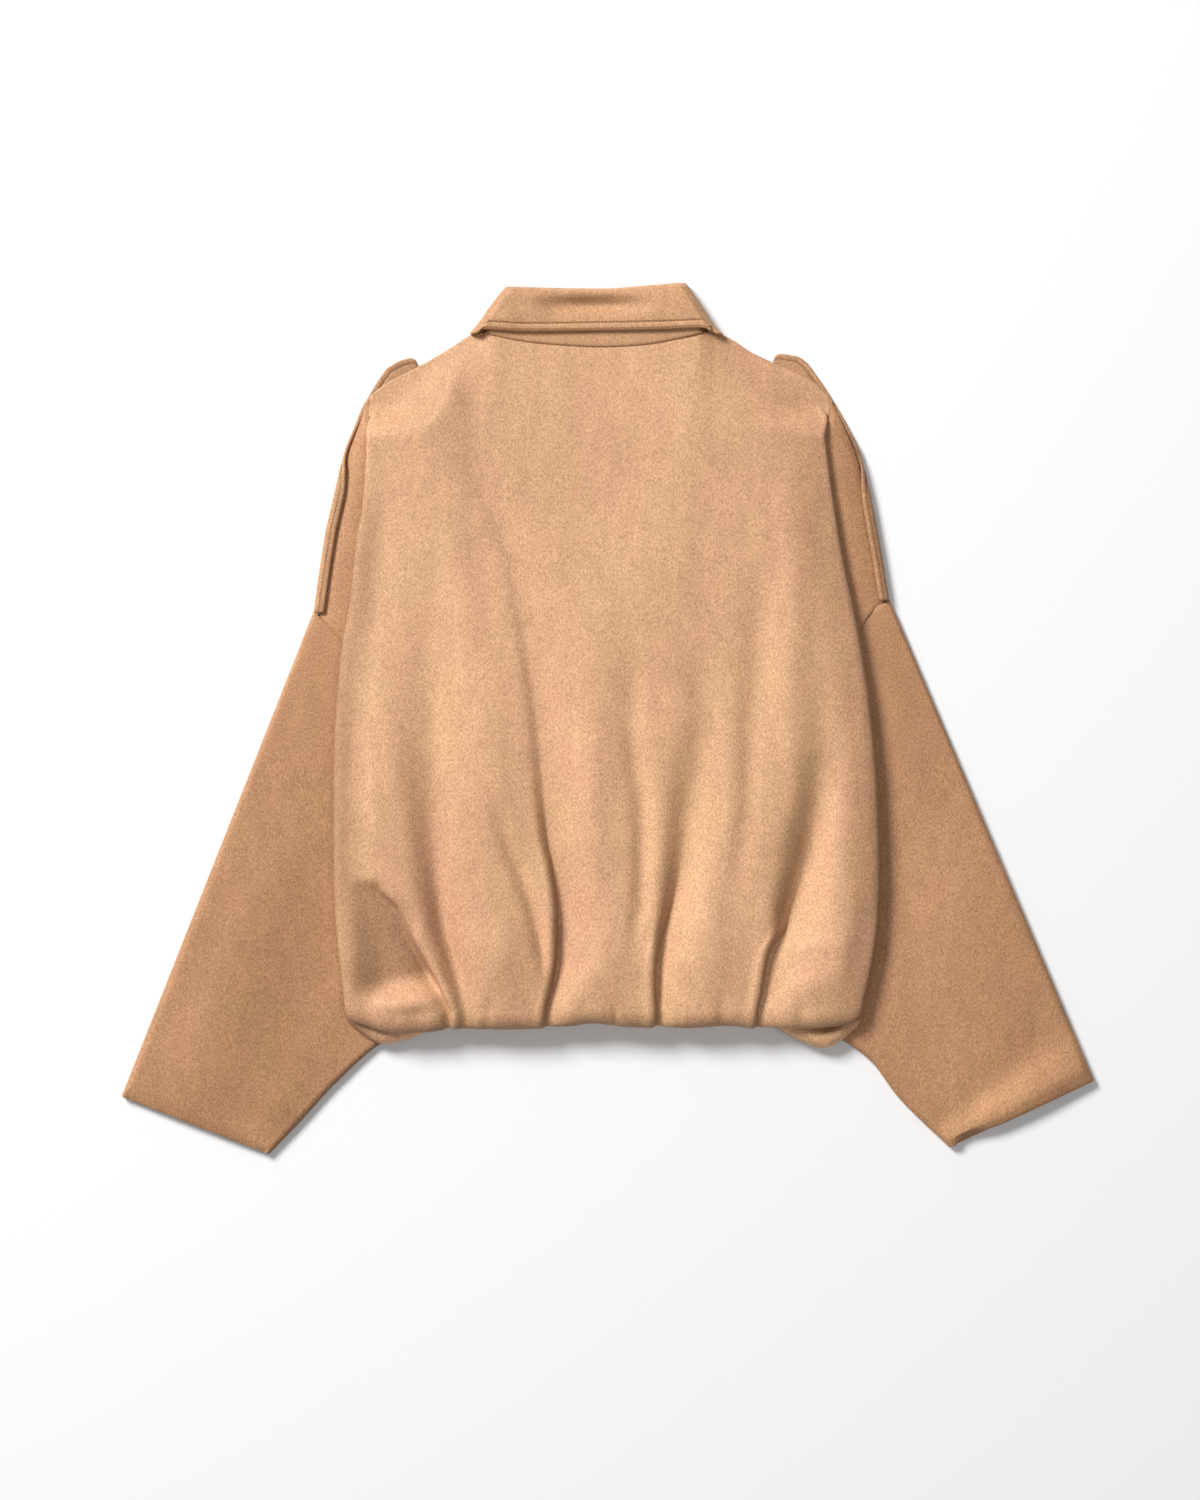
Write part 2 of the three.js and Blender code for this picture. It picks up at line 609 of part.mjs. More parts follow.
// outermost line of each shoulder strap, from the armhole up to its free end (x outward);
// wrap is how far its edge comes over the shoulder edge onto the back
const strapPath = {
  left: [
    { x: 274.6, y: 104.5, wrap: 1 }, { x: 269.4, y: 140, wrap: 1 }, { x: 263.6, y: 177, wrap: 1 },
    { x: 256.6, y: 207, wrap: 1 }, { x: 250.6, y: 234, wrap: 0.8 }, { x: 247.3, y: 246, wrap: 0.65 },
    { x: 243.6, y: 258, wrap: 0.5 }, { x: 236.4, y: 276, wrap: 0.2 },
    { x: 228.5, y: 293, wrap: 0 }, { x: 219, y: 309, wrap: 0 },
    { x: 212, y: 322, wrap: 0 }, { x: 203, y: 332, wrap: 0 }, { x: 191, y: 338, wrap: 0 },
    { x: 183, y: 338.5, wrap: 0 }],
  right: [
    { x: 262.6, y: 115.5, wrap: 1 }, { x: 257.6, y: 145, wrap: 1 }, { x: 252.6, y: 173, wrap: 1 },
    { x: 249, y: 193, wrap: 1 }, { x: 245.2, y: 212, wrap: 0.9 }, { x: 240.6, y: 231.5, wrap: 0.75 },
    { x: 235, y: 251, wrap: 0.55 }, { x: 229, y: 265, wrap: 0.38 },
    { x: 221.8, y: 279, wrap: 0.2 }, { x: 212.5, y: 294, wrap: 0 }, { x: 202, y: 311, wrap: 0 },
    { x: 192, y: 325, wrap: 0 }, { x: 185, y: 335, wrap: 0 }, { x: 175, y: 340.5, wrap: 0 },
    { x: 161, y: 342, wrap: 0 }],
};

// A strap wraps the shoulder edge like a C along the arm and lies flat at its free end. Its
// section follows the floor, a half circle round the edge, and the top of the back's edge.
function strapGeometry(side) {
  const sign = side === "left" ? -1 : 1;
  const height = seamLevel + 0.5 + strapThickness;
  const radius = height / 2;
  const overTop = 2.5;
  const widthSteps = [0, 0.2, 0.38, 0.47, 0.57, 0.66, 0.75, 0.84, 0.93, 1];
  const section = (distance) => {
    const angle = Math.min(Math.PI, Math.max(0, distance / radius));
    const straight = Math.max(0, -distance) + Math.max(0, distance - Math.PI * radius);
    return { inward: radius * (1 - Math.sin(angle)) + straight, up: radius * (1 - Math.cos(angle)) };
  };
  const grid = strapPath[side].map((p) => {
    const upper = smooth(0.5, 1, p.wrap) * (Math.PI * radius / 2 + overTop);
    const end = Math.PI * radius * Math.min(0.5, p.wrap) + upper;
    const outermost = section(Math.min(end, Math.PI * radius / 2)).inward;
    const slope = mix(0.78, 0, Math.min(1, 2 * p.wrap));
    const level = Math.sqrt(1 - slope ** 2);
    return widthSteps.map((t) => {
      const station = section(end - strapWidth * (1 - t));
      const inward = station.inward - outermost;
      return new THREE.Vector3(sign * (p.x - level * inward), p.y - slope * inward, station.up);
    });
  });
  if (sign === -1) grid.forEach((row) => row.reverse());
  return wall(grid, strapThickness);
}

const jacket = new THREE.Group();

function addPiece(name, geometry) {
  const piece = new THREE.Mesh(geometry, new THREE.MeshStandardMaterial(suede));
  piece.name = name;
  jacket.add(piece);
}

addPiece("back", backGeometry());
for (const side of ["left", "right"]) {
  addPiece(`front_${side}`, frontGeometry(side));
  addPiece(`sleeve_${side}`, sleeveGeometry(side));
  addPiece(`epaulette_${side}`, strapGeometry(side));
}
addPiece("collar_leaf", leafGeometry());
addPiece("collar_stand", standGeometry());

// the origin is on the floor under the middle of the whole outline
const box = new THREE.Box3().setFromObject(jacket);
const middle = box.getCenter(new THREE.Vector3());
jacket.position.set(-middle.x, -middle.y, -box.min.z);

export default jacket;
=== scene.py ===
import math

import bpy
import numpy as np
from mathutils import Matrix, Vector


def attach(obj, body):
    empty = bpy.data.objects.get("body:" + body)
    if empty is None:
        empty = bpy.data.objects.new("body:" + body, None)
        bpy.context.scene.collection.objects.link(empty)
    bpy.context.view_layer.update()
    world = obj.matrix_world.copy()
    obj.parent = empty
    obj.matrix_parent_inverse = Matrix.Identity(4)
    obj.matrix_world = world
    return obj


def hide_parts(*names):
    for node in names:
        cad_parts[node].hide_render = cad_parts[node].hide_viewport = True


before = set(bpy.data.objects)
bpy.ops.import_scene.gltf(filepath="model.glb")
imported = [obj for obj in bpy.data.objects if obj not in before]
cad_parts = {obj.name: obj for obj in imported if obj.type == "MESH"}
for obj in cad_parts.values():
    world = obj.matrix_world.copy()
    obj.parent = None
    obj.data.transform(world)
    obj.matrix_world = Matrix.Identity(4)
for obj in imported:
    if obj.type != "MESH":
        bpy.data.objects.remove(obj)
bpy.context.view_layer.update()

# Sizes are in millimetres in the photo's own upright frame, and are moved to the part's
# origin and to metres when a mesh is made.
layout = {
    "shiftY": -1.21,         # from the photo's frame to the part's origin
    "clothThickness": 1.5,
    "seamLevel": 10.4,       # outer face of the back where it meets the sleeve
    "shoulderLevel": 6.2,
    "neckLevel": 13.8,
    "standLevel": 15.8,
    "valleyGap": 1.2,        # half the gap inside the hidden valley of a side fold
    "frontLift": 2.8,        # how far the fronts lie above the floor at the shoulders
    "shoulderY": 295,
    "underarmY": -262,
    "armholeTop": {"left": 103, "right": 114},
}

cameraSettings = {
    "lens": 85,
    "sensor": 36,
    "visibleHeight": 1395,   # what the photo's 1500 rows span on the jacket
    "lookX": -7.4,
    "lookY": -27.9,
    "focusHeight": 20,
    "clipEnd": 100,          # in metres
}

# the shoulder edge and then the armhole seam, for each side: (y, x outward)
sideSeam = {
    "left": [(295, 226), (276, 231.8), (258, 238.8), (234, 245.8), (177, 259.8), (103, 271),
             (88, 260), (73, 247), (20, 236), (-60, 220), (-145, 200), (-215, 180), (-262, 166)],
    "right": [(295, 209), (280, 217), (251, 229.8), (212, 240.8), (173, 248.8), (114, 259),
              (103, 247), (81, 233), (20, 222), (-60, 206), (-145, 188), (-215, 172), (-262, 160)],
}
sideFold = {
    "left": [(284, 226), (260, 225), (197, 229), (170, 234), (105, 241), (73, 247), (20, 252),
             (-35, 255), (-145, 255), (-201, 252), (-237, 248), (-280, 243)],
    "right": [(286, 204), (271, 202), (243, 205), (206, 210), (142, 221), (105, 229), (79, 234),
              (9, 245), (-72, 252), (-145, 254), (-190, 252), (-237, 245), (-280, 234)],
}
lipEdge = {
    "left": [(160, -284), (186, -296), (211, -301), (226, -293), (240, -282)],
    "right": [(154, -284), (180, -298), (204, -305), (218, -298), (230, -285)],
}
topEdge = [(-228, 295), (-220, 304), (-204, 316), (-176, 330), (-156, 341), (-122, 361),
           (-90, 355), (-61, 351), (-5, 348), (33, 350), (72, 357), (96, 362), (141, 339),
           (155, 333), (191, 316), (202, 306), (212, 295)]
hemEdge = [(-243, -280), (-191, -291), (-160, -290), (-145, -287), (-102, -287), (-52, -286),
           (-7, -281), (14, -285), (86, -286), (100, -283), (129, -286), (173, -287),
           (224, -283), (236, -279)]

# The back's folds, each a line down the cloth: (y, x, depth, reach to the left, reach to
# the right, lip). A lip above 0 laps the right side over the left, one below 0 the reverse.
folds = {
    "corner": [(300, -198, 0, 10, 3, 0), (81, -208, 0, 10, 3, 0), (-120, -212, 0, 10, 6, 0),
               (-156, -208, 0.4, 12, 12, 0), (-174, -192, 1.4, 14, 12, 0),
               (-204, -178.5, 5, 14, 4.5, 1.8), (-236, -161, 8, 14, 3, 2.8),
               (-258, -151, 8, 11, 2.5, 2.4), (-275, -144, 6, 8, 2.5, 1),
               (-290, -139, 4, 8, 2.5, 0.4)],
    "furrow": [(360, -120, 0, 12, 12, 0), (246, -158, 0, 14, 14, 0), (81, -165, 2, 18, 16, 0),
               (-50, -163, 5.5, 18, 16, 0), (-129, -160, 9, 14, 16, 0),
               (-165, -156, 11, 12, 16, 0), (-197, -150.7, 11.5, 11, 14, 0),
               (-225, -143, 10, 9, 12, 0), (-264, -133, 5, 6, 10, 0), (-290, -127, 3, 6, 9, 0)],
    "left": [(360, -80, 0, 8, 16, 0), (300, -110, 0, 8, 16, 0), (246, -127, 0.8, 9, 20, 0),
             (189, -104, 1.6, 9, 22, 0), (128, -85, 2.2, 9, 24, 0), (44, -71, 3.4, 8, 24, 0),
             (-27, -62, 5, 8, 28, 0), (-112, -56, 9, 5, 32, -1), (-138, -51.7, 11, 3.5, 33, -1.6),
             (-182, -47.4, 13.5, 3, 32, -2.6), (-218.6, -48.4, 14, 3, 28, -3),
             (-245, -52, 12.5, 3, 18, -2.8), (-268, -57, 9, 3, 15, -1.8),
             (-290, -61, 7, 2.5, 14, -1)],
    "right": [(360, 92, 0, 12, 16, 0), (110, 88, 0.8, 14, 18, 0), (7, 88, 2.6, 15, 20, 0),
              (-45.5, 80.5, 6, 18, 20, 0), (-77, 75, 9, 17, 20, 0),
              (-131, 68.5, 12, 12, 20, -0.4), (-169, 60, 13.5, 8, 20, -1.4),
              (-203.5, 49.3, 13.5, 4.5, 20, -2.6), (-227, 44, 13, 2.6, 17, -3),
              (-248, 43.3, 12, 2.5, 16, -3), (-276, 46, 8, 2.5, 14, -2),
              (-290, 51, 6, 2.5, 14, -1)],
    "outer": [(300, 172, 0, 8, 16, 0), (200, 186, 0, 8, 16, 0), (60, 203, 0, 10, 18, 0),
              (-20, 200, 2.5, 16, 18, 0), (-62, 196, 7.5, 19, 17, 0), (-92, 192, 12, 20, 17, 0),
              (-118, 188, 15, 20, 18, 0), (-148, 180, 17, 17, 20, -0.4),
              (-177.6, 170, 17.5, 12, 24, -1.2), (-197, 163, 16, 7, 28, -2.4),
              (-213, 150, 12.5, 3, 30, -3), (-229, 145.4, 11, 2.6, 30, -3),
              (-257, 141, 9.5, 2.5, 26, -2.6), (-275, 137, 7, 2.5, 22, -1.8),
              (-290, 132, 5.5, 2.5, 20, -1)],
    "besideLeft": [(-60, -112, 0, 9, 9, 0), (-97, -99, 2.2, 9, 9, 0), (-156, -76, 4.6, 8, 7, 0),
                   (-200, -63.5, 4.6, 7, 5, 0), (-240, -57.5, 2.5, 5, 4, 0),
                   (-265, -56, 0, 5, 4, 0)],
    "centre": [(100, 22, 0, 12, 12, 0), (62, 22, 1, 12, 12, 0), (8, 21.4, 2.6, 11, 11, 0),
               (-46, 26, 3.8, 10, 10, 0), (-88, 32, 4.4, 9, 10, 0), (-173, 30, 3.8, 8, 9, 0),
               (-195, 26, 2.2, 8, 9, 0), (-230, 24, 0, 8, 8, 0)],
    "besideRight": [(150, 140, 0, 14, 14, 0), (91, 138, 2, 14, 14, 0), (0, 132, 3, 13, 13, 0),
                    (-97, 126, 3, 12, 12, 0), (-150, 120, 1.4, 11, 11, 0),
                    (-200, 112, 0, 11, 11, 0)],
}
# soft swells above 0 and creases below: (x, y, angle, reach along, reach across, rise)
swells = [
    (-214, -90, 90, 130, 26, 5), (-190, -262, 4, 40, 10, 3), (-108, -50, 90, 110, 22, 3.5),
    (-178, -176, -62, 40, 12, 3),
    (-100, -222, 90, 50, 24, 4.5), (-15, -70, 90, 130, 22, 4), (-5, -226, 90, 40, 28, 3),
    (95, -222, 92, 54, 20, 3.4), (172, 40, 90, 140, 16, 3.4), (222, -205, 84, 44, 22, 4),
    (186, -246, 20, 30, 14, 2), (60, 190, 70, 90, 40, 1.8), (-150, 200, 100, 80, 30, 1.8),
    (120, -60, 92, 70, 14, 2), (-132, 90, 96, 90, 14, 1.6), (-187, -100, 100, 70, 10, 2),
    (-185, 308.5, 8, 11, 2.4, -0.9), (5, -263, -60, 20, 1.8, -1.6), (70, -275, -48, 9, 2.2, -1.4),
    (-112, -272, 75, 14, 5, -1.6), (106, -270, 96, 15, 6, -1.8), (-20, -276, 100, 12, 5, -1.4),
    (-178, -278, 70, 12, 6, -1.5), (180, -274, 100, 13, 7, -1.6),
]


# A straight blend: a plus the share t of the way to b.
def mix(a, b, t):
    return a + (b - a) * t


# 0 up to low, 1 from high on, and 3t^2 - 2t^3 between them.
def smoothStep(low, high, value):
    t = np.clip((np.asarray(value, float) - low) / (high - low), 0, 1)
    return t * t * (3 - 2 * t)


# A length of one along the last axis: each vector over its own length.
def unit(vectors):
    return vectors / (np.linalg.norm(vectors, axis=-1, keepdims=True) + 1e-12)


# The smooth curve below, through the rows (key, value) of a table.
def curveAt(rows, key):
    data = np.array(sorted((float(r[0]), float(r[1])) for r in rows))
    return hermite(data[:, 0], data[:, 1], np.asarray(key, float))


# Cubic pieces between the keys. The slope at a key is the harmonic mean of the slopes on its
# two sides, and zero at a turning point, so the curve never overshoots.
def hermite(keys, values, query):
    steps = np.diff(keys)
    slopes = np.diff(values, axis=0) / steps.reshape((-1,) + (1,) * (values.ndim - 1))
    before, after = slopes[:-1], slopes[1:]
    together = np.where(before * after > 0, 2 * before * after / (before + after + 1e-12), 0)
    tangents = np.concatenate([slopes[:1], together, slopes[-1:]])
    query = np.clip(query, keys[0], keys[-1])
    place = np.clip(np.searchsorted(keys, query, side="right") - 1, 0, len(steps) - 1)
    width = steps[place]
    t = (query - keys[place]) / width
    shape = t.shape + (1,) * (values.ndim - 1)
    t, width = t.reshape(shape), width.reshape(shape)
    return ((2 * t ** 3 - 3 * t ** 2 + 1) * values[place]
            + (t ** 3 - 2 * t ** 2 + t) * width * tangents[place]
            + (3 * t ** 2 - 2 * t ** 3) * values[place + 1]
            + (t ** 3 - t ** 2) * width * tangents[place + 1])


# Bells at places listed, each row (x, y, angle, reach along, reach across, height): the
# height times e to minus the squared distances along and across, each over its reach.
def bellSum(rows, x, y):
    total = np.zeros(np.broadcast(x, y).shape)
    for centreX, centreY, degrees, along, across, height in rows:
        turn = math.radians(degrees)
        u = (x - centreX) * math.cos(turn) + (y - centreY) * math.sin(turn)
        w = (y - centreY) * math.cos(turn) - (x - centreX) * math.sin(turn)
        total += height * np.exp(-(u / along) ** 2 - (w / across) ** 2)
    return total


# Painted shading, from -1 for light to 1 for dark: painted shade where the cloth leans away
# from the light's side, painted light where it leans towards it, and a little painted shade where
# it is steep.
paintedShadingSettings = {"towardLight": (-0.5, 0.5), "lean": 1.3, "steep": 0.45, "lightest": -0.3}
rimBulge = 0.42              # how far a rim stands out, as a share of the thickness


# A cloth wall from a grid of outer points: the inner face lies one thickness inside along
# the normals, and a rounded rim of one more row of points joins the two all round. Relief
# moves the two faces apart, so that one below 0 pinches the wall. Second marks the cells that
# take the piece's second material, and the given painted shading is added to the painted shade and
# light that the slope gives.
def clothShell(name, grid, thickness, ring=False, keep=None, relief=None, second=None, paintedShading=None):
    rows, columns = grid.shape[:2]
    points = grid.reshape(-1, 3)
    i, j = np.meshgrid(np.arange(rows - 1), np.arange(columns if ring else columns - 1),
                       indexing="ij")
    if keep is not None:
        chosen = keep(i, j)
        i, j = i[chosen], j[chosen]
    i, j = i.ravel(), j.ravel()
    after = (j + 1) % columns
    cells = np.stack([i * columns + j, (i + 1) * columns + j,
                      (i + 1) * columns + after, i * columns + after], axis=1)
    corners = points[cells]
    faceNormals = unit(np.cross(corners[:, 2] - corners[:, 0], corners[:, 3] - corners[:, 1]))
    normals = np.zeros_like(points)
    for corner in range(4):
        np.add.at(normals, cells[:, corner], faceNormals)
    normals = unit(normals)
    # painted shade on slopes facing away from the light, painted light on those facing it
    lean = -paintedShadingSettings["lean"] * (normals[:, :2] @ np.array(paintedShadingSettings["towardLight"]))
    lean = lean + paintedShadingSettings["steep"] * (1 - np.abs(normals[:, 2]))
    shadeAmount = np.clip(lean, paintedShadingSettings["lightest"], 1) + (0 if paintedShading is None else paintedShading.ravel())
    inner = points - normals * thickness
    if relief is not None:
        points = points + normals * relief.reshape(-1, 1)
        inner = inner - normals * relief.reshape(-1, 1)
    # open edges are those that only one cell uses
    edges = np.concatenate([cells[:, [0, 1]], cells[:, [1, 2]], cells[:, [2, 3]], cells[:, [3, 0]]])
    keys = np.sort(edges, axis=1) @ np.array([len(points), 1])
    _, first, counts = np.unique(keys, return_index=True, return_counts=True)
    rim = edges[first[counts == 1]]
    outward = np.zeros_like(points)
    direction = points[rim[:, 1]] - points[rim[:, 0]]
    push = unit(np.cross(direction, normals[rim[:, 0]] + normals[rim[:, 1]]))
    for end in range(2):
        np.add.at(outward, rim[:, end], push)
    middle = (points + inner) / 2 + unit(outward) * thickness * rimBulge
    n = len(points)
    a, b = rim[:, 0], rim[:, 1]
    faces = np.concatenate([
        cells,
        cells[:, [0, 3, 2, 1]] + n,
        np.stack([b, a, a + 2 * n, b + 2 * n], axis=1),
        np.stack([b + 2 * n, a + 2 * n, a + n, b + n], axis=1)])
    made = makeMesh(name, np.concatenate([points, inner, middle]), faces, np.tile(shadeAmount, 3))
    if second is not None:
        marks = np.zeros(len(faces), dtype=np.int32)
        marks[:2 * len(cells)] = np.tile(second(i, j), 2)
        made.data.polygons.foreach_set("material_index", marks)
    return made


# The length of a polyline up to each of its points: the running sum of its steps.
def lengthsAlong(path):
    return np.concatenate([[0], np.cumsum(np.linalg.norm(np.diff(path, axis=0), axis=1))])


# Rows of values at places along a polyline, each column straight between its points.
def atLengths(places, lengths, values):
    return np.stack([np.interp(places, lengths, column) for column in values.T], axis=1)


# One mesh of quads, in metres about the part's origin, from the points that the faces use.
# The painted shading goes on the points as an attribute, 0 where none is given.
def makeMesh(name, points, faces, paintedShading=None):
    used, faces = np.unique(faces, return_inverse=True)
    faces = faces.reshape(-1, 4)
    points = points[used] + np.array([0, layout["shiftY"], 0])
    mesh = bpy.data.meshes.new(name)
    mesh.vertices.add(len(points))
    mesh.vertices.foreach_set("co", (points / 1000).astype(np.float32).ravel())
    mesh.loops.add(faces.size)
    mesh.loops.foreach_set("vertex_index", faces.astype(np.int32).ravel())
    mesh.polygons.add(len(faces))
    mesh.polygons.foreach_set("loop_start", np.arange(0, faces.size, 4, dtype=np.int32))
    mesh.polygons.foreach_set("loop_total", np.full(len(faces), 4, dtype=np.int32))
    mesh.polygons.foreach_set("use_smooth", np.ones(len(faces), dtype=bool))
    mesh.update(calc_edges=True)
    shadeAmount = np.zeros(len(points)) if paintedShading is None else paintedShading[used]
    attribute = mesh.attributes.new("paintedShading", "FLOAT", "POINT")
    attribute.data.foreach_set("value", shadeAmount.astype(np.float32))
    mesh.validate()
    made = bpy.data.objects.new(name, mesh)
    bpy.context.scene.collection.objects.link(made)
    return made


# The camera stands straight above the jacket, as far off as the height that it sees times
# the lens over the sensor.
def addCamera():
    s = cameraSettings
    data = bpy.data.cameras.new("photoCamera")
    data.sensor_fit = "VERTICAL"
    data.sensor_height = s["sensor"]
    data.lens = s["lens"]
    data.clip_end = s["clipEnd"]
    camera = bpy.data.objects.new("photoCamera", data)
    distance = s["visibleHeight"] * s["lens"] / s["sensor"]
    camera.location = (s["lookX"] / 1000, (s["lookY"] + layout["shiftY"]) / 1000,
                       (distance + s["focusHeight"]) / 1000)
    bpy.context.scene.collection.objects.link(camera)
    bpy.context.scene.camera = camera


lightSettings = {
    "world": (1.0, 1.0, 1.0), "worldStrength": 0.22,
    "lamps": [
        {"name": "keyLight", "place": (-3.1, 3.1, 4.1), "size": 2.2, "power": 380},
        {"name": "topLight", "place": (1.2, -1.0, 5.2), "size": 3.0, "power": 42},
    ],
    "floor": (0.96, 0.96, 0.96), "floorRoughness": 0.9, "floorSize": 12,
}


# A white world, and disc lamps that each face the origin.
def addLights():
    scene = bpy.context.scene
    world = bpy.data.worlds.new("studio")
    world.use_nodes = True
    background = world.node_tree.nodes["Background"]
    background.inputs["Color"].default_value = (*lightSettings["world"], 1)
    background.inputs["Strength"].default_value = lightSettings["worldStrength"]
    scene.world = world
    for lamp in lightSettings["lamps"]:
        data = bpy.data.lights.new(lamp["name"], "AREA")
        data.shape = "DISK"
        data.size = lamp["size"]
        data.energy = lamp["power"]
        light = bpy.data.objects.new(lamp["name"], data)
        light.location = lamp["place"]
        light.rotation_euler = Vector(lamp["place"]).to_track_quat("Z", "Y").to_euler()
        scene.collection.objects.link(light)
    scene.view_settings.view_transform = "Standard"


# One pale square about the origin, half its size out each way.
def addFloor():
    half = 1000 * lightSettings["floorSize"] / 2
    corners = half * np.array([(-1, -1, 0), (1, -1, 0), (1, 1, 0), (-1, 1, 0)], float)
    floor = makeMesh("floor", corners, np.array([[0, 1, 2, 3]]))
    material = bpy.data.materials.new("paleFloor")
    material.use_nodes = True
    shader = material.node_tree.nodes["Principled BSDF"]
    shader.inputs["Base Color"].default_value = (*lightSettings["floor"], 1)
    shader.inputs["Roughness"].default_value = lightSettings["floorRoughness"]
    floor.data.materials.append(material)


print("stage: camera, lights and floor")
addCamera()
addLights()
addFloor()


# Suede: one warm tan cloth painted in lit and shaded copies, lighter on the back and darker
# on the sleeves, with the collar between, and a darker tone for the thread; with broad pinkish and
# yellowish mottling, a fine grain in colour and bump, and a soft sheen.
shadedSuedeAndThreadTones = {
    "back": (0.66, 0.370, 0.210), "sleeve": (0.50, 0.258, 0.134), "collar": (0.56, 0.304, 0.162),
    "thread": (0.30, 0.150, 0.072),
}
suedeSettings = {
    "layers": [
        {"scale": 17, "detail": 3, "roughness": 0.5, "stretch": (1, 0.6, 1),
         "low": (1.01, 0.98, 1.0), "high": (0.985, 1.02, 0.95)},
        {"scale": 8, "detail": 2, "roughness": 0.5, "stretch": (1, 0.5, 1),
         "low": (0.94, 0.935, 0.93), "high": (1.05, 1.055, 1.06)},
        {"scale": 70, "detail": 5, "roughness": 0.62, "stretch": (1, 0.45, 1),
         "low": (0.93, 0.925, 0.92), "high": (1.06, 1.065, 1.07)},
        {"scale": 700, "detail": 2, "roughness": 0.6, "stretch": (1, 0.65, 1),
         "low": (0.76, 0.74, 0.71), "high": (1.22, 1.24, 1.27)},
    ],
    "lowStop": 0.34, "highStop": 0.66,
    "paintedLightTint": (1.5, 1.51, 1.53), "paintedShadeTint": (0.5, 0.465, 0.43),
    "bump": {"scale": 900, "detail": 3, "roughness": 0.7, "stretch": (1, 0.8, 1)},
    "bumpStrength": 0.5, "bumpDistance": 0.0005,
    "roughness": 0.56, "specular": 0.42, "sheen": 0.06, "sheenRoughness": 0.5,
    "sheenTint": (1.0, 0.84, 0.7, 1), "specularTint": (1.0, 0.86, 0.7, 1),
}


# The colour is the tone times one ramp of noise for each layer, times a ramp of the painted
# shading that goes from painted light through white to painted shade. A finer noise gives the bump.
def suedeMaterial(name, tone):
    s = suedeSettings
    material = bpy.data.materials.new(name)
    material.use_nodes = True
    nodes, links = material.node_tree.nodes, material.node_tree.links
    shader = nodes["Principled BSDF"]
    place = nodes.new("ShaderNodeTexCoord")

    def noise(layer):
        mapping = nodes.new("ShaderNodeMapping")
        mapping.inputs["Scale"].default_value = layer["stretch"]
        links.new(place.outputs["Object"], mapping.inputs["Vector"])
        made = nodes.new("ShaderNodeTexNoise")
        made.inputs["Scale"].default_value = layer["scale"]
        made.inputs["Detail"].default_value = layer["detail"]
        made.inputs["Roughness"].default_value = layer["roughness"]
        links.new(mapping.outputs["Vector"], made.inputs["Vector"])
        return made.outputs["Fac"]

    # the colour times a ramp of the value through its stops: (place, colour)
    def tinted(colour, value, stops):
        ramp = nodes.new("ShaderNodeValToRGB")
        for _ in stops[2:]:
            ramp.color_ramp.elements.new(0.5)
        for element, (position, stop) in zip(ramp.color_ramp.elements, stops):
            element.position = position
            element.color = (*stop, 1)
        links.new(value, ramp.inputs["Fac"])
        blend = nodes.new("ShaderNodeMix")
        blend.data_type = "RGBA"
        blend.blend_type = "MULTIPLY"
        blend.inputs["Factor"].default_value = 1
        links.new(colour, blend.inputs["A"])
        links.new(ramp.outputs["Color"], blend.inputs["B"])
        return blend.outputs["Result"]

    flat = nodes.new("ShaderNodeRGB")
    flat.outputs["Color"].default_value = (*tone, 1)
    colour = flat.outputs["Color"]
    for layer in s["layers"]:
        colour = tinted(colour, noise(layer),
                        [(s["lowStop"], layer["low"]), (s["highStop"], layer["high"])])
    # the painted shading attribute: painted light below 0, painted shade above
    shadeAmount = nodes.new("ShaderNodeAttribute")
    shadeAmount.attribute_name = "paintedShading"
    share = nodes.new("ShaderNodeMath")
    share.operation = "MULTIPLY_ADD"
    share.inputs[1].default_value = share.inputs[2].default_value = 0.5     # -1 to 1 as 0 to 1
    links.new(shadeAmount.outputs["Fac"], share.inputs[0])
    colour = tinted(colour, share.outputs["Value"],
                    [(0, s["paintedLightTint"]), (0.5, (1, 1, 1)), (1, s["paintedShadeTint"])])
    links.new(colour, shader.inputs["Base Color"])
    shader.inputs["Roughness"].default_value = s["roughness"]
    shader.inputs["Specular IOR Level"].default_value = s["specular"]
    shader.inputs["Specular Tint"].default_value = s["specularTint"]
    shader.inputs["Sheen Weight"].default_value = s["sheen"]
    shader.inputs["Sheen Roughness"].default_value = s["sheenRoughness"]
    shader.inputs["Sheen Tint"].default_value = s["sheenTint"]
    bump = nodes.new("ShaderNodeBump")
    bump.inputs["Strength"].default_value = s["bumpStrength"]
    bump.inputs["Distance"].default_value = s["bumpDistance"]
    links.new(noise(s["bump"]), bump.inputs["Height"])
    links.new(bump.outputs["Normal"], shader.inputs["Normal"])
    return material


suedes = {name: suedeMaterial("tanSuede_" + name, tone) for name, tone in shadedSuedeAndThreadTones.items()}


# Cloth names the CAD nodes that it stands for, and stitches name none. The print line gives
# twice the quads as triangles, and the least and greatest height in millimetres.
def finishPiece(piece, tone, nodes=()):
    piece.data.materials.append(suedes[tone])
    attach(piece, "root")
    if nodes:
        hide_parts(*nodes)
    points = np.zeros(3 * len(piece.data.vertices))
    piece.data.vertices.foreach_get("co", points)
    heights = 1000 * points[2::3]
    print(piece.name, "triangles", 2 * len(piece.data.polygons),
          "height", round(heights.min(), 2), round(heights.max(), 2))


stitchSettings = {"pitch": 3.3, "length": 2.5, "width": 0.75, "rings": 6, "sides": 6,
                  "capAngle": 0.12}


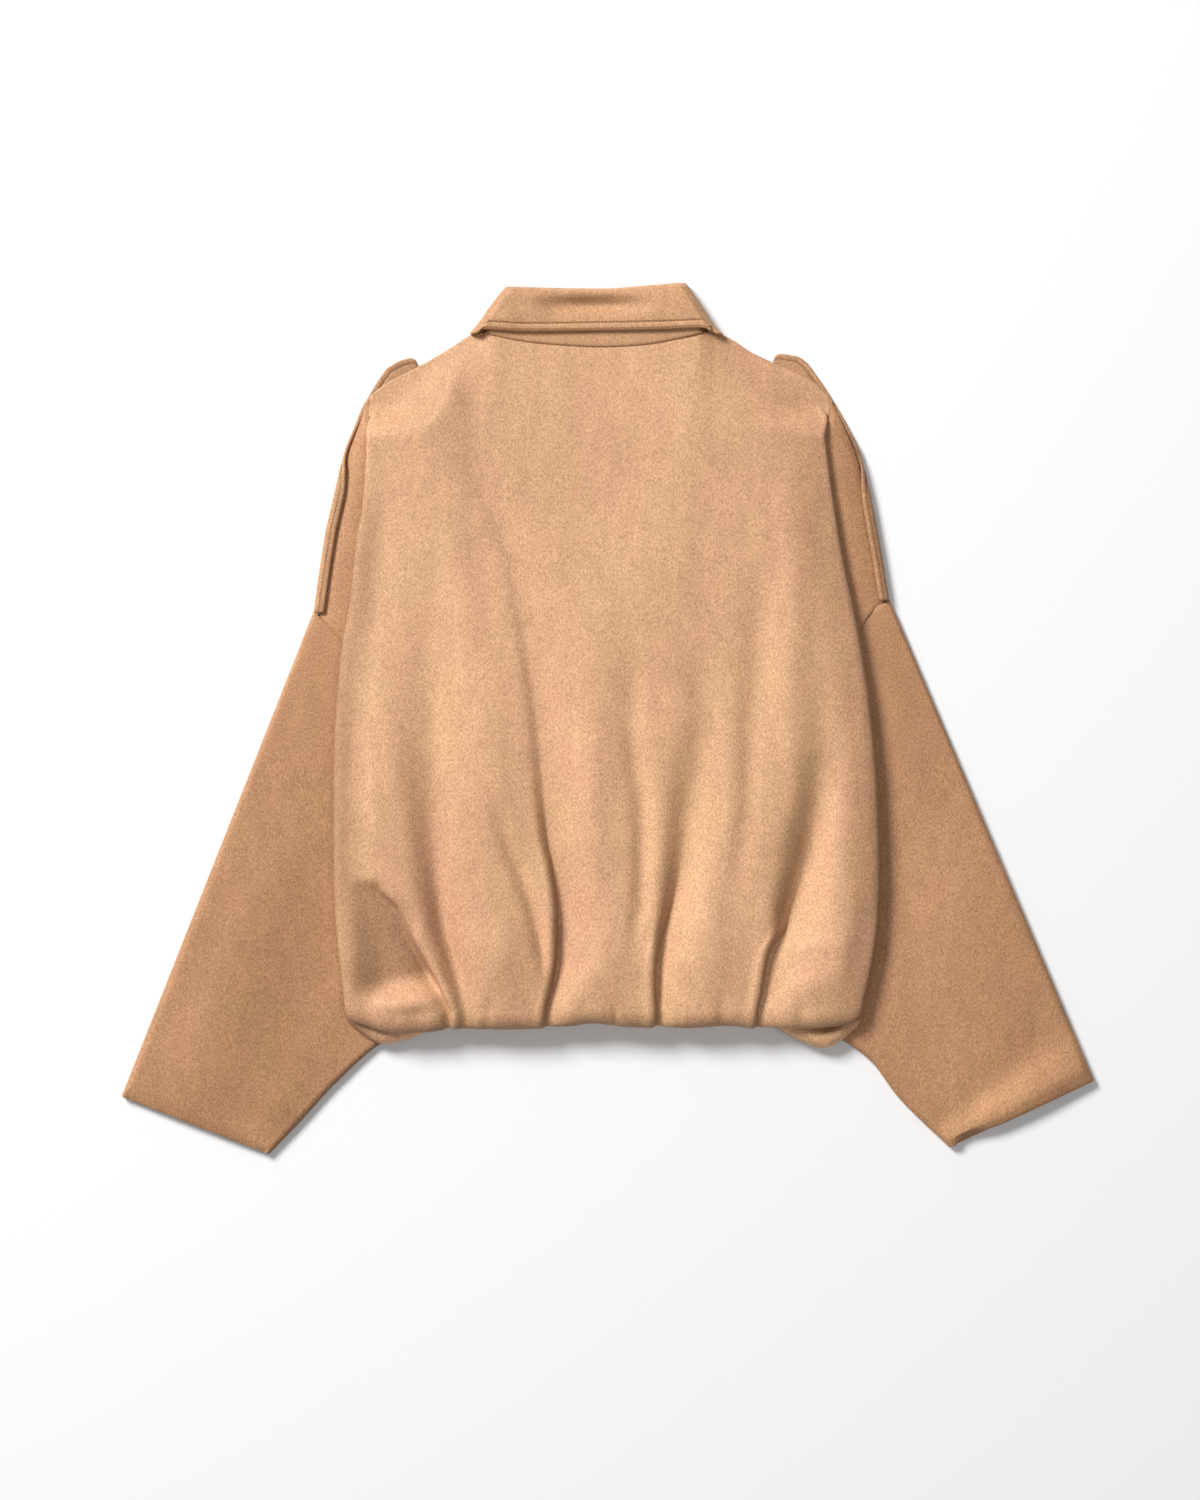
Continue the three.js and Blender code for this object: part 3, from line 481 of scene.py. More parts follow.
# Rows of sewing: each stitch is a short thread, an ellipsoid that is stretched along the
# seam and half sunk in the cloth. Its surface is centre + along cos(a) + round sin(a), and
# two quads close each end.
def addStitches(name, path, normals):
    s = stitchSettings
    lengths = lengthsAlong(path)
    places = np.arange(s["pitch"] / 2, lengths[-1], s["pitch"])
    centre = atLengths(places, lengths, path)
    along = unit(atLengths(places + 0.5, lengths, path) - atLengths(places - 0.5, lengths, path))
    normal = atLengths(places, lengths, normals)
    side = unit(np.cross(along, normal))
    a = np.linspace(s["capAngle"], math.pi - s["capAngle"], s["rings"])
    b = np.arange(s["sides"]) * 2 * math.pi / s["sides"]
    a, b = a[None, :, None, None], b[None, None, :, None]
    shape = (-1, 1, 1, 3)
    points = (centre.reshape(shape) + along.reshape(shape) * np.cos(a) * s["length"] / 2
              + (side.reshape(shape) * np.cos(b) + normal.reshape(shape) * np.sin(b))
              * np.sin(a) * s["width"] / 2)
    count, rings, sides = len(places), s["rings"], s["sides"]
    stitch, i, j = np.meshgrid(np.arange(count), np.arange(rings - 1), np.arange(sides),
                               indexing="ij")
    ring = (stitch * rings + i) * sides
    after = (j + 1) % sides
    faces = np.stack([ring + j, ring + after, ring + sides + after, ring + sides + j],
                     axis=-1).reshape(-1, 4)
    start = (np.arange(count) * rings * sides)[:, None]
    caps = [start + np.array([0, 3, 2, 1]), start + np.array([0, 5, 4, 3]),
            start + (rings - 1) * sides + np.array([0, 1, 2, 3]),
            start + (rings - 1) * sides + np.array([0, 3, 4, 5])]
    piece = makeMesh(name, points.reshape(-1, 3), np.concatenate([faces] + caps))
    finishPiece(piece, "thread")


# Back: one panel from the neck seam to a hem that rolls under and in. Each side goes from
# the armhole seam round a hidden valley, out along the underside and over the side fold.
backSettings = {
    "stations": 12,          # columns of one side fold, from the seam to the fold's top
    "valleyEnd": 3,          # the station at the valley's deepest place
    "underside": 4,          # the first on the underside of the fold
    "topStart": 9,           # the fold's outermost one, where the upper face starts
    "plainStep": 1.2, "plainRise": 0.07, "shoulderRise": 0.8, "domeRise": 7, "domePower": 5,
    "topRadius": 4, "foldRadius": 10, "radiusGrows": (290, -120),    # between these heights
    "foldStarts": (296, 262), "foldEndY": -280.0,
    "valleyFromFold": 8, "valleyFromSeam": 6,        # the least distances of the valley
    "columnStartY": 340.0, "columnEndY": -275.0,     # where a column is looked for at first
    "settleInset": 12, "settleStep": 2.8,            # how stations close up in the rolled hem
    "hemRadius": 17, "hemReturnLevel": 16.2, "hemReturnLength": 35,
    "bodyRows": 150, "rollRows": 22, "returnRows": 5,
    "rowShares": [(0, 0), (0.16, 0.09), (0.45, 0.42), (0.72, 0.75), (1, 1)],
    "flat": (0.62, 0.74), "area": 0.40,
    "middleSpacing": 2.6, "sideSteps": 3, "spacingRow": -190,
    "neckCentre": -12, "neckHalf": (90, 122), "besideNeck": (95, 165), "foldsFade": 60,
    "hemShare": 0.24,        # how far a fold's depth shows in the rolled hem
    "hollowTop": [(-250, -154), (-232, -147), (-215, -147), (-203, -153), (-193, -164),
                  (-184, -180)],
    "hollow": 13, "hollowFloor": -259, "hollowTilt": 0.22, "lipBulge": 7, "lipReach": 18,
    # painted shade in the hollow and on the sides, and the strip by the right seam made lighter
    "hollowShade": 0.5, "leftSideShade": 0.74, "stripLightening": 0.2, "rightSideShade": 0.4,
    "leftBand": (34, 12), "rightBand": (-48, -10),   # from the side folds, none to full
    "sidesDarken": (290, 130), "sidesLower": 0.6, "lowerSides": (-200, -140),
    # patches of painted shade and painted light: (x, y, angle, along, across, amount)
    "paintedLightAndShadePatches": [(-60, 300, 0, 230, 90, 0.2), (-165, 300, 20, 45, 25, 0.2),
                   (-170, 200, 90, 90, 60, 0.12), (-70, -20, 90, 130, 110, -0.18),
                   (60, -70, 80, 90, 60, -0.1), (-110, -230, 10, 50, 30, 0.14),
                   (205, -235, 0, 30, 40, -0.1)],
}


# The side fold's radius grows from the shoulders down to the waist.
def foldRadiusAt(y):
    s = backSettings
    return mix(s["topRadius"], s["foldRadius"], smoothStep(*s["radiusGrows"], y))


# Stations of one side fold at each height y, from the seam to the fold's top: how far
# across (outward) and how far up each lies. They go from a plain slope at the shoulder to the
# full fold: the seam, a valley, the underside, and half a circle up to the top.
def sideStations(side, y):
    s = backSettings
    folded = smoothStep(*s["foldStarts"], y)
    radius = foldRadiusAt(y)
    fold = curveAt(sideFold[side], y)
    seam = curveAt(sideSeam[side], y)
    valley = np.minimum(fold - radius - s["valleyFromFold"], seam - s["valleyFromSeam"])
    level = layout["seamLevel"]
    low = level + 2 * layout["valleyGap"]
    top = layout["armholeTop"][side]
    edge = mix(level, layout["shoulderLevel"], smoothStep(top - 15, top, y))
    inner = fold - 0.8 * radius
    across = [seam, mix(seam, valley + 1, 0.5), valley + 1, valley, valley + 1,
              mix(valley + 1, inner, 0.33), mix(valley + 1, inner, 0.66), inner,
              fold - 0.29 * radius, fold, fold - 0.29 * radius, fold - radius]
    up = [edge, level, level, level + layout["valleyGap"], low, low, low, low,
          low + 0.29 * radius, low + radius, low + 1.71 * radius, low + 2 * radius]
    k = np.arange(s["stations"]).reshape((-1,) + (1,) * np.ndim(y))
    across = mix(seam - s["plainStep"] * k, np.array([a + 0 * y for a in across]), folded)
    up = mix(layout["shoulderLevel"] + s["plainRise"] * k, np.array([u + 0 * y for u in up]),
             folded)
    return across, up


# Columns of the middle, each a function x(y): beside each guide fold, its line plus an
# offset, and between two of these, an even blend of both.
def middleColumns():
    near = [("corner", (-8, -3, 0, 3), 1), ("furrow", (-5, 0, 9), 2),
            ("left", (-7, -3, 0, 3, 9), 3), ("right", (-7, -3, 0, 3, 9), 4),
            ("outer", (-7, -3, 0, 4, 12), 3)]
    columns = []

    def spread(fromColumn, toColumn, count):
        for n in range(1, count + 1):
            t = n / (count + 1)
            columns.append(lambda y, t=t, a=fromColumn, b=toColumn: mix(a(y), b(y), t))

    def foldTop(side, sign):
        return lambda y: sign * sideStations(side, y)[0][-1]

    last = foldTop("left", -1)
    for guide, offsets, before in near:
        beside = [lambda y, o=o, g=guide: curveAt([row[:2] for row in folds[g]], y) + o
                  for o in offsets]
        spread(last, beside[0], before)
        columns.extend(beside)
        last = beside[-1]
    spread(last, foldTop("right", 1), 2)
    return columns


# a pleat's lip: its rise as a share of its lean, and where and how wide both are
lipSettings = {"rise": 0.7, "riseAway": 5, "riseReach": 5, "leanAway": 2.6, "leanReach": 2.8}


# How far the folds and swells move the cloth out, and how far a pleat's lip is pushed
# sideways over its trough. A trough is a bell curve with its own reach on either side, the
# lip a narrow bell beside it that leans over, and a swell one of the bells above.
def foldRelief(x, y):
    s = lipSettings
    rise = bellSum(swells, x, y)
    shift = np.zeros_like(x)
    for rows in folds.values():
        data = np.array(sorted(rows), float)
        line, depth, left, right, lip = np.moveaxis(hermite(data[:, 0], data[:, 1:], y), -1, 0)
        away = x - line
        rise -= depth * np.exp(-(away / np.where(away < 0, left, right)) ** 2)
        turned = away * np.sign(lip)
        rise += s["rise"] * np.abs(lip) * np.exp(-((turned - s["riseAway"]) / s["riseReach"]) ** 2)
        shift -= lip * np.exp(-((turned - s["leanAway"]) / s["leanReach"]) ** 2)
    return rise, shift


# The hollow at the hem's left corner, between the side fold and the corner fold, under an
# arc: how deep it is, falling from the arc to its floor, and how much painted shade it gets.
def cornerHollow(x, y):
    s = backSettings
    corner = curveAt([row[:2] for row in folds["corner"]], y)
    arc = curveAt(s["hollowTop"], x)
    floor = s["hollowFloor"] + s["hollowTilt"] * np.clip(x + 235, 0, 80)
    inside = smoothStep(-246, -208, x) * smoothStep(corner + 2, corner - 8, x)
    slope = 0.3 * smoothStep(arc + 2, arc - 12, y) + 0.7 * np.clip((arc - y) / (arc - floor), 0, 1)
    depth = s["hollow"] * inside * slope * smoothStep(floor - 18, floor + 14, y)
    # painted shade inside the hollow, below its arc
    hollowShadeMask = smoothStep(-244, -230, x) * smoothStep(corner + 2, corner - 6, x)
    hollowShadeMask = hollowShadeMask * smoothStep(arc + 3, arc - 10, y) * smoothStep(floor - 6, floor + 16, y)
    return depth, s["hollowShade"] * hollowShadeMask


# Station k of a side fold from the shoulder edge to the hem, at the shares v: its points,
# where it settles in the rolled hem, and a 0, because the back's folds don't reach it. One on
# the underside ends on the lip's edge, and bulges there, and one past it where the hem rolls.
def sideColumn(side, sign, k, v):
    s = backSettings
    first = sideStations(side, np.array(s["foldEndY"]))[0][k]
    if k < s["topStart"]:
        bottom = curveAt(lipEdge[side], first)
    else:
        bottom = curveAt(hemEdge, sign * first) + s["hemRadius"]
    shoulder = curveAt(topEdge, sign * (sideSeam[side][0][1] - s["plainStep"] * k))
    y = mix(shoulder, bottom, v)
    across, up = sideStations(side, y)
    nearLip = np.clip((y - bottom) / s["lipReach"], 0, 1)
    bulging = s["underside"] <= k < s["topStart"]
    bulge = s["lipBulge"] * np.sqrt(np.sin(np.pi * nearLip)) * bulging
    settled = curveAt(sideFold[side], y) - s["settleInset"] - s["settleStep"] * (k - s["topStart"])
    return np.stack([sign * across[k], y, up[k] + bulge, sign * settled, 0 * y], axis=1)


# A column of the middle in the same form, with how far the folds reach it. Its height goes
# from the edge at the neck or shoulder to a dome between the side folds, more quickly beside
# the sides, and follows their own heights only close to them.
def middleColumn(columnX, v):
    s = backSettings
    top = s["columnStartY"]
    for _ in range(6):       # closes in on the place where the column meets the top edge
        top = float(curveAt(topEdge, columnX(np.array(top))))
    bottom = float(curveAt(hemEdge, columnX(np.array(s["columnEndY"])))) + s["hemRadius"]
    y = mix(top, bottom, v)
    x = columnX(y)
    down = top - y
    fromNeck = np.abs(x - s["neckCentre"])
    leftAcross, leftUp = (a[-1] for a in sideStations("left", y))
    rightAcross, rightUp = (a[-1] for a in sideStations("right", y))
    share = np.clip((x + leftAcross) / (rightAcross + leftAcross), 0, 1)
    beside = smoothStep(70, 8, np.minimum(x + leftAcross, rightAcross - x))
    plain = layout["seamLevel"] + 2 * layout["valleyGap"] + 2 * foldRadiusAt(y)
    full = (mix(plain, mix(leftUp, rightUp, share), beside)
            + s["domeRise"] * (1 - np.abs(2 * share - 1) ** s["domePower"]))
    shoulder = layout["shoulderLevel"] + s["shoulderRise"]
    edge = mix(layout["neckLevel"], shoulder, smoothStep(*s["neckHalf"], fromNeck))
    besideNeck = (smoothStep(-8, 110, down) + 1 - np.exp(-down / 55)) / 2
    besideSeam = smoothStep(-8, mix(85, 45, beside), down)
    up = mix(edge, full, mix(besideNeck, besideSeam, smoothStep(*s["besideNeck"], fromNeck)))
    return np.stack([x, y, up, x, smoothStep(0, s["foldsFade"], down)], axis=1)


# The back's painted shading: its patches of painted shade and light, the painted shade in
# the hollow, and painted shade on both sides, which are darker than the middle. The strip by the
# seam has none of these, and is lighter on the right.
def backPaintedShading(x, y, place, count):
    s = backSettings
    leftFold, rightFold = -curveAt(sideFold["left"], y), curveAt(sideFold["right"], y)
    # painted shade on both sides, where the back rounds away
    sides = (s["leftSideShade"] * smoothStep(*s["leftBand"], x - leftFold)
             + s["rightSideShade"] * smoothStep(*s["rightBand"], x - rightFold))
    sides = (sides * smoothStep(*s["sidesDarken"], y)
             * mix(s["sidesLower"], 1, smoothStep(*s["lowerSides"], y)))
    station = np.minimum(place, count - 1 - place)[None, :]
    strip = smoothStep(count - 4.5, count - 3.5, place)[None, :]
    paintedShading = bellSum(s["paintedLightAndShadePatches"], x, y) + cornerHollow(x, y)[1] + sides
    return paintedShading * smoothStep(4, 7, station) - s["stripLightening"] * strip


# The angle round a hem's roll at each row, 0 on the body and pi past the roll, and the share
# of the way back inside.
def hemRows(bodyRows, rollRows, returnRows):
    angle = np.concatenate([np.zeros(bodyRows), np.linspace(0, math.pi, rollRows + 1)[1:],
                            np.full(returnRows, math.pi)])
    returned = np.concatenate([np.zeros(bodyRows + rollRows),
                               np.linspace(0, 1, returnRows + 1)[1:]])
    return angle[:, None], returned[:, None]


# The columns from seam to seam, joined by the smooth curve and divided more finely, then
# moved out by the relief. Below the body they go half round a roll of the hem's radius, by
# its sine and cosine, and on a way back up inside.
def backGrid():
    s = backSettings
    t = np.linspace(0, 1, s["bodyRows"])
    v = np.concatenate([curveAt(s["rowShares"], t), np.ones(s["rollRows"] + s["returnRows"])])
    angle, returned = hemRows(s["bodyRows"], s["rollRows"], s["returnRows"])
    stations = range(s["stations"])
    coarse = np.stack([sideColumn("left", -1, k, v) for k in stations]
                      + [middleColumn(columnX, v) for columnX in middleColumns()]
                      + [sideColumn("right", 1, k, v) for k in reversed(stations)])
    count = len(coarse)
    row = np.argmin(np.abs(coarse[count // 2, :s["bodyRows"], 1] - s["spacingRow"]))
    widths = np.abs(np.diff(coarse[:, row, 0]))
    steps = np.clip(np.ceil(widths / s["middleSpacing"]), 2, 12).astype(int)
    steps[:s["stations"] - 1] = steps[1 - s["stations"]:] = s["sideSteps"]
    place = np.concatenate([k + np.arange(n) / n for k, n in enumerate(steps)] + [[count - 1]])
    fine = hermite(np.arange(count, dtype=float), coarse, place).transpose(1, 0, 2)
    x, y, up, settled, strength = (fine[..., n] for n in range(5))
    paintedShading = backPaintedShading(x, y, place, count)
    rise, shift = foldRelief(x, y)
    rise = (rise - cornerHollow(x, y)[0]) * strength
    upright = np.clip(np.cos(angle), 0, 1)
    x = x + shift * strength * upright
    middleUp = (up + s["hemReturnLevel"]) / 2
    grid = np.stack([
        mix(x, settled, np.sin(angle / 2) ** 2),
        y - (s["hemRadius"] + s["hemShare"] * rise) * np.sin(angle)
        + s["hemReturnLength"] * returned,
        middleUp + (up - middleUp) * np.cos(angle) + rise * upright], axis=2)
    cellStation = np.minimum(np.floor(place[:-1] + 1e-6), np.floor(count - 1 - place[1:] + 1e-6))
    return grid, cellStation, paintedShading


# The wall leaves out the cells below the underarm between the seam and the valley, and those
# of the rolled hem up to the fold's outermost line. The strip by the seam has the sleeve's tone.
def addBack():
    s = backSettings
    grid, cellStation, paintedShading = backGrid()
    lastBody = s["bodyRows"] - 1
    side = grid[:s["bodyRows"], 0, 1]
    underarmRow = int(np.argmin(np.abs(side - layout["underarmY"])))

    def keep(i, j):
        station = cellStation[j]
        return np.where(i >= lastBody, station >= s["topStart"],
                        (i < underarmRow) | (station >= s["underside"]))

    piece = clothShell("suedeBack", grid, layout["clothThickness"], keep=keep,
                       second=lambda i, j: cellStation[j] < s["valleyEnd"], paintedShading=paintedShading)
    finishPiece(piece, "back", ["back"])
    piece.data.materials.append(suedes["sleeve"])


print("stage: back")
addBack()


frontSettings = {
    "bottom": -272, "hemRadius": 5.2, "hemReturn": 25, "lapCentre": -8, "lapHalf": 12,
    "lapLift": 1.8, "neckY": 302, "rows": 90, "rollRows": 12, "returnRows": 5, "columns": 60,
    "neckCorner": {"left": -118, "right": 92}, "neckTop": 359.5, "shoulderGap": 0.4,
    "strapReach": (72, 46), "lapReach": (50, 26), "shoulderLift": (205, 245),
    "seamAllowance": 5,      # how far the edge beside the strap lies inside the seam
    "hemTaper": 16,          # and how far it draws in below the underarm
    "flat": (0.30, 0.72), "area": 0.145,
}


# Front panels, face down. Each row goes straight from the side edge to the lap at the middle,
# each column from the shoulder or neck to the hem, which rolls up and in by the roll's sine
# and cosine. A panel is lifted where it lies over the strap or the other panel.
def addFront(side):
    s = frontSettings
    sign = -1 if side == "left" else 1
    seam = sideSeam[side]
    centre = s["lapCentre"] - sign * s["lapHalf"]
    highest, lowest = layout["shoulderY"], s["bottom"]
    rowY = np.concatenate([np.linspace(highest, lowest, s["rows"]),
                           np.full(s["rollRows"] + s["returnRows"], float(lowest))])[:, None]
    angle, returned = hemRows(s["rows"], s["rollRows"], s["returnRows"])
    t = np.linspace(0, 1, s["columns"])[None, :]
    top = layout["armholeTop"][side]
    underarm = layout["underarmY"]
    seamX = np.where(rowY < underarm,
                     seam[-1][1] - s["hemTaper"] * smoothStep(underarm, lowest, rowY),
                     curveAt(seam, rowY))
    edgeX = sign * (seamX - s["seamAllowance"] * smoothStep(top - 12, top, rowY))
    x = mix(edgeX, centre, t)
    topX = mix(sign * seam[0][1], centre, t)
    corner = s["neckCorner"][side]
    alongNeck = np.clip((topX - corner) / (s["lapCentre"] - corner), 0, 1)
    topY = np.where((topX - corner) * sign > 0, curveAt(topEdge, topX) - s["shoulderGap"],
                    mix(s["neckTop"], s["neckY"], alongNeck))
    y = mix(topY, lowest, (highest - rowY) / (highest - lowest))
    overStrap = (smoothStep(*s["strapReach"], np.abs(x - edgeX))
                 * smoothStep(top - 26, top - 13, y))
    overLap = smoothStep(*s["lapReach"], centre - x) if side == "left" else 0 * x
    lift = (layout["frontLift"] * np.maximum(overStrap, smoothStep(*s["shoulderLift"], y))
            + s["lapLift"] * overLap)
    radius = s["hemRadius"] - s["lapLift"] * overLap
    grid = np.stack([x, y - radius * np.sin(angle) + s["hemReturn"] * returned,
                     lift + radius * (1 - np.cos(angle))], axis=2)
    if side == "left":
        grid = grid[:, ::-1]
    piece = clothShell("suedeFront_" + side, grid, layout["clothThickness"])
    finishPiece(piece, "back", ["front_" + side])


print("stage: fronts")
for side in ("left", "right"):
    addFront(side)


# Sleeves: flattened tubes. Their plan is a patch between the armhole seam, the cuff, the
# folded outer edge and the edge below the arm, and their height is two layers.
sleeveSettings = {
    "level": 8.5, "outerLevel": 10, "outerFrom": (0.2, 0.5), "rows": 110, "bendSteps": 9,
    "belly": 5, "bellyFrom": (0.3, 0.6), "bellyTo": (0.8, 1), "cuffBelly": 0.3,
    "cuffRoll": 1.6, "cuffRollFrom": (0.972, 1),
    "topSteps": 52, "edgeSteps": 16, "edgeShare": 0.05,
    "seamInset": 3.0, "seamWidth": 0.9, "seamDepth": 1.1, "armholeGap": (0.4, -0.3),
    "seamFade": {"left": (1, 0.9), "right": (0.75, 0.35)},
    "cuffGap": 5.5,          # how far the upper cuff edge of the right sleeve stands back
    "gapFrom": (0.96, 1), "gapCentre": 0.88, "gapReach": 0.13, "gapEdge": 0.93,
    "flat": (0.80, 0.52), "area": 0.152,
    "left": {"shoulder": (275.2, 101.0), "cuffOuter": (454, -351), "cuffInner": (316, -405),
             "under": [(166, -262), (189, -293), (208, -300), (252, -337), (289, -377),
                       (316, -405)]},
    "right": {"shoulder": (263.2, 112.3), "cuffOuter": (454, -336), "cuffInner": (319, -399),
              "under": [(160, -262), (190, -286), (219, -299), (245, -318), (271, -352),
                        (319, -399)]},
}
# Soft swells and creases of the upper face, and patches of painted shade and painted light,
# both by shares across and along the sleeve:
# (across, along, angle, reach across, reach along, rise in millimetres or amount)
sleeveSwells = {
    "left": [(0.3, 0.45, 0, 0.16, 0.3, 1.4), (0.62, 0.62, 0, 0.14, 0.22, -1.2),
             (0.5, 0.86, 0, 0.3, 0.07, 1.3), (0.15, 0.75, 0, 0.08, 0.2, -0.8),
             (0.8, 0.35, 0, 0.1, 0.18, 1.2), (0.86, 0.8, 0, 0.08, 0.1, 1.0)],
    "right": [(0.35, 0.5, 0, 0.15, 0.3, 1.2), (0.66, 0.58, 0, 0.12, 0.2, -1.4),
              (0.5, 0.975, 0, 0.5, 0.06, 3.8), (0.2, 0.8, 0, 0.1, 0.15, -0.8),
              (0.82, 0.84, 0, 0.08, 0.1, 1.4), (0.85, 0.4, 0, 0.1, 0.16, 0.9)],
}
sleevePaintedPatches = {
    "left": [(0.85, 0.92, 0, 0.12, 0.06, -0.2), (0.35, 0.5, 0, 0.4, 0.5, 0.22)],
    "right": [(0.5, 0.925, 0, 0.55, 0.045, -0.9), (0.16, 0.985, 0, 0.22, 0.02, 0.3),
              (0.3, 0.5, 0, 0.14, 0.3, -0.1)],
}


# Points at shares t of a polyline's length, on the smooth curve through its corners.
def alongLine(points, t):
    data = np.array(points, float)
    lengths = lengthsAlong(data)
    return hermite(lengths / lengths[-1], data, np.asarray(t, float))


# The plan at shares u across and v along: the blend from the armhole to the cuff, plus the
# blend from the outer edge to the lower one, less the one between the four corners.
def sleevePlan(side, u, v):
    shape = sleeveSettings[side]
    top = layout["armholeTop"][side]
    gapX, gapY = sleeveSettings["armholeGap"]
    armhole = [shape["shoulder"]] + [(x + gapX, y + gapY) for y, x in sideSeam[side] if y < top]
    start, end = np.array(armhole[0], float), np.array(armhole[-1], float)
    cuffOuter, cuffInner = np.array(shape["cuffOuter"], float), np.array(shape["cuffInner"], float)
    u3, v3 = u[..., None], v[..., None]
    corners = mix(mix(start, end, u3), mix(cuffOuter, cuffInner, u3), v3)
    return (mix(alongLine(armhole, u), mix(cuffOuter, cuffInner, u3), v3)
            + mix(mix(start, cuffOuter, v3), alongLine(shape["under"], v), u3) - corners)


# Rings of the tube: the upper layer, half a circle round one edge, the floor's layer and half
# a circle round the other. The upper layer is level plus a belly that rises as a sine across,
# plus the swells, less a roll at the cuff and a seam channel along the lower edge.
def addSleeve(side):
    s = sleeveSettings
    sign = -1 if side == "left" else 1
    v = np.linspace(0, 1, s["rows"])[:, None]
    ends = sleevePlan(side, np.array([[0.0, 1.0]]) + 0 * v, v + np.zeros((1, 2)))
    width = np.linalg.norm(ends[:, 1] - ends[:, 0], axis=1)[:, None]
    level = mix(s["level"], s["outerLevel"], smoothStep(*s["outerFrom"], v))
    radius = level / 2
    inset = radius / width
    flatShare = np.concatenate([np.linspace(0, 1 - s["edgeShare"], s["topSteps"]),
                                np.linspace(1 - s["edgeShare"], 1, s["edgeSteps"])[1:]])[None, :]
    bend = np.linspace(0, math.pi, s["bendSteps"] + 2)[1:-1][None, :]
    topU = mix(inset, 1 - inset, flatShare)
    belly = (s["belly"] * smoothStep(*s["bellyFrom"], v)
             * mix(1, s["cuffBelly"], smoothStep(*s["bellyTo"], v)))
    topUp = (level + belly * np.sin(np.pi * topU) + bellSum(sleeveSwells[side], topU, v)
             - s["cuffRoll"] * smoothStep(*s["cuffRollFrom"], v))
    seamLine = ((1 - topU) * width - s["seamInset"]) / s["seamWidth"]
    seamFade = smoothStep(*s["seamFade"][side], v)
    topUp = topUp - s["seamDepth"] * seamFade * np.exp(-seamLine ** 2)
    u = np.concatenate([topU, 1 - inset * (1 - np.sin(bend)), topU[:, ::-1],
                        inset * (1 - np.sin(bend))], axis=1)
    up = np.concatenate([topUp, radius * (1 + np.cos(bend)), 0 * topU,
                         radius * (1 - np.cos(bend))], axis=1)
    plan = sleevePlan(side, u, v + 0 * u)
    if side == "right":
        bell = np.exp(-((topU - s["gapCentre"]) / s["gapReach"]) ** 2)
        back = s["cuffGap"] * smoothStep(*s["gapFrom"], v) * bell
        plan[:, :topU.shape[1], 1] += back * smoothStep(1 - inset, s["gapEdge"], topU)
    grid = np.stack([sign * plan[..., 0], plan[..., 1], up], axis=2)
    paintedShading = bellSum(sleevePaintedPatches[side], u, v)
    if sign == 1:
        grid, paintedShading = grid[:, ::-1], paintedShading[:, ::-1]
    piece = clothShell("suedeSleeve_" + side, grid, layout["clothThickness"], ring=True, paintedShading=paintedShading)
    finishPiece(piece, "sleeve", ["sleeve_" + side])


print("stage: sleeves")
for side in ("left", "right"):
    addSleeve(side)


# Collar: leaf and stand are bands that go round the neck, pressed flat: a front part near
# the floor, a bend at each side and the back part on top.
collarSettings = {
    "acrossSteps": 110, "frontSteps": 22, "bendSteps": 9,
    "stitchInset": 6.5, "stitchSpan": (-112, 86), "stitchPoints": 120,
    "leafGroove": 1.0, "grooveReach": 0.9, "leafEndsShift": 0.16, "leafRoll": 1.2, "standRoll": 0.5,
    # the leaf's dent and the ridges round it, in the same form as the back's swells
    "leafSwells": [(-15, 385.5, 0, 44, 7, -5.5), (-66, 388, 0, 15, 13, 2.6),
                   (-24, 396, 0, 46, 5, 1.8), (50, 386, 0, 24, 14, 2.2),
                   (-92, 376, 0, 12, 10, 1.2)],
    "leafLevels": (13.2, 18.6), "leafSlope": 3.6, "leafDarkerLeft": (-40, -95),
    "leafLighterRight": (40, 75), "threadLift": 0.1, "standRows": 30, "standFoldLevel": 13.6,
    "leafThickness": 2.4, "leafFlat": (0.62, 0.07), "leafArea": 0.0235,
    "standFlat": (0.50, 0.05), "standArea": 0.0165,
    "leafFold": [(-96, 404), (-50, 402.5), (-7, 402), (40, 405), (74, 408)],
    "leafEdge": [(-128, 362), (-118, 364), (-80, 362), (-5, 363), (53, 364), (88, 365.5),
                 (107, 360)],
    "leafSpread": 1.02, "leafStart": 0.03, "foldInset": 0.8, "standInset": 3.4,
    "leafSides": {"left": [(404, -96), (386, -110), (370, -121), (361, -128.5)],
                  "right": [(407.4, 73.4), (386, 88), (367, 100), (360, 107.5)]},
    "leafEnds": {"left": ((-14, 345), (-50, 270)), "right": ((-2, 345), (34, 270))},
    "standSides": {"left": [(399, -92), (380, -102), (361, -115)],
                   "right": [(400, 70), (380, 80), (361, 90)]},
    "standEnds": {"left": ((-15, 341), (-13, 305.4)), "right": ((-1, 341), (-3, 305.4))},
}


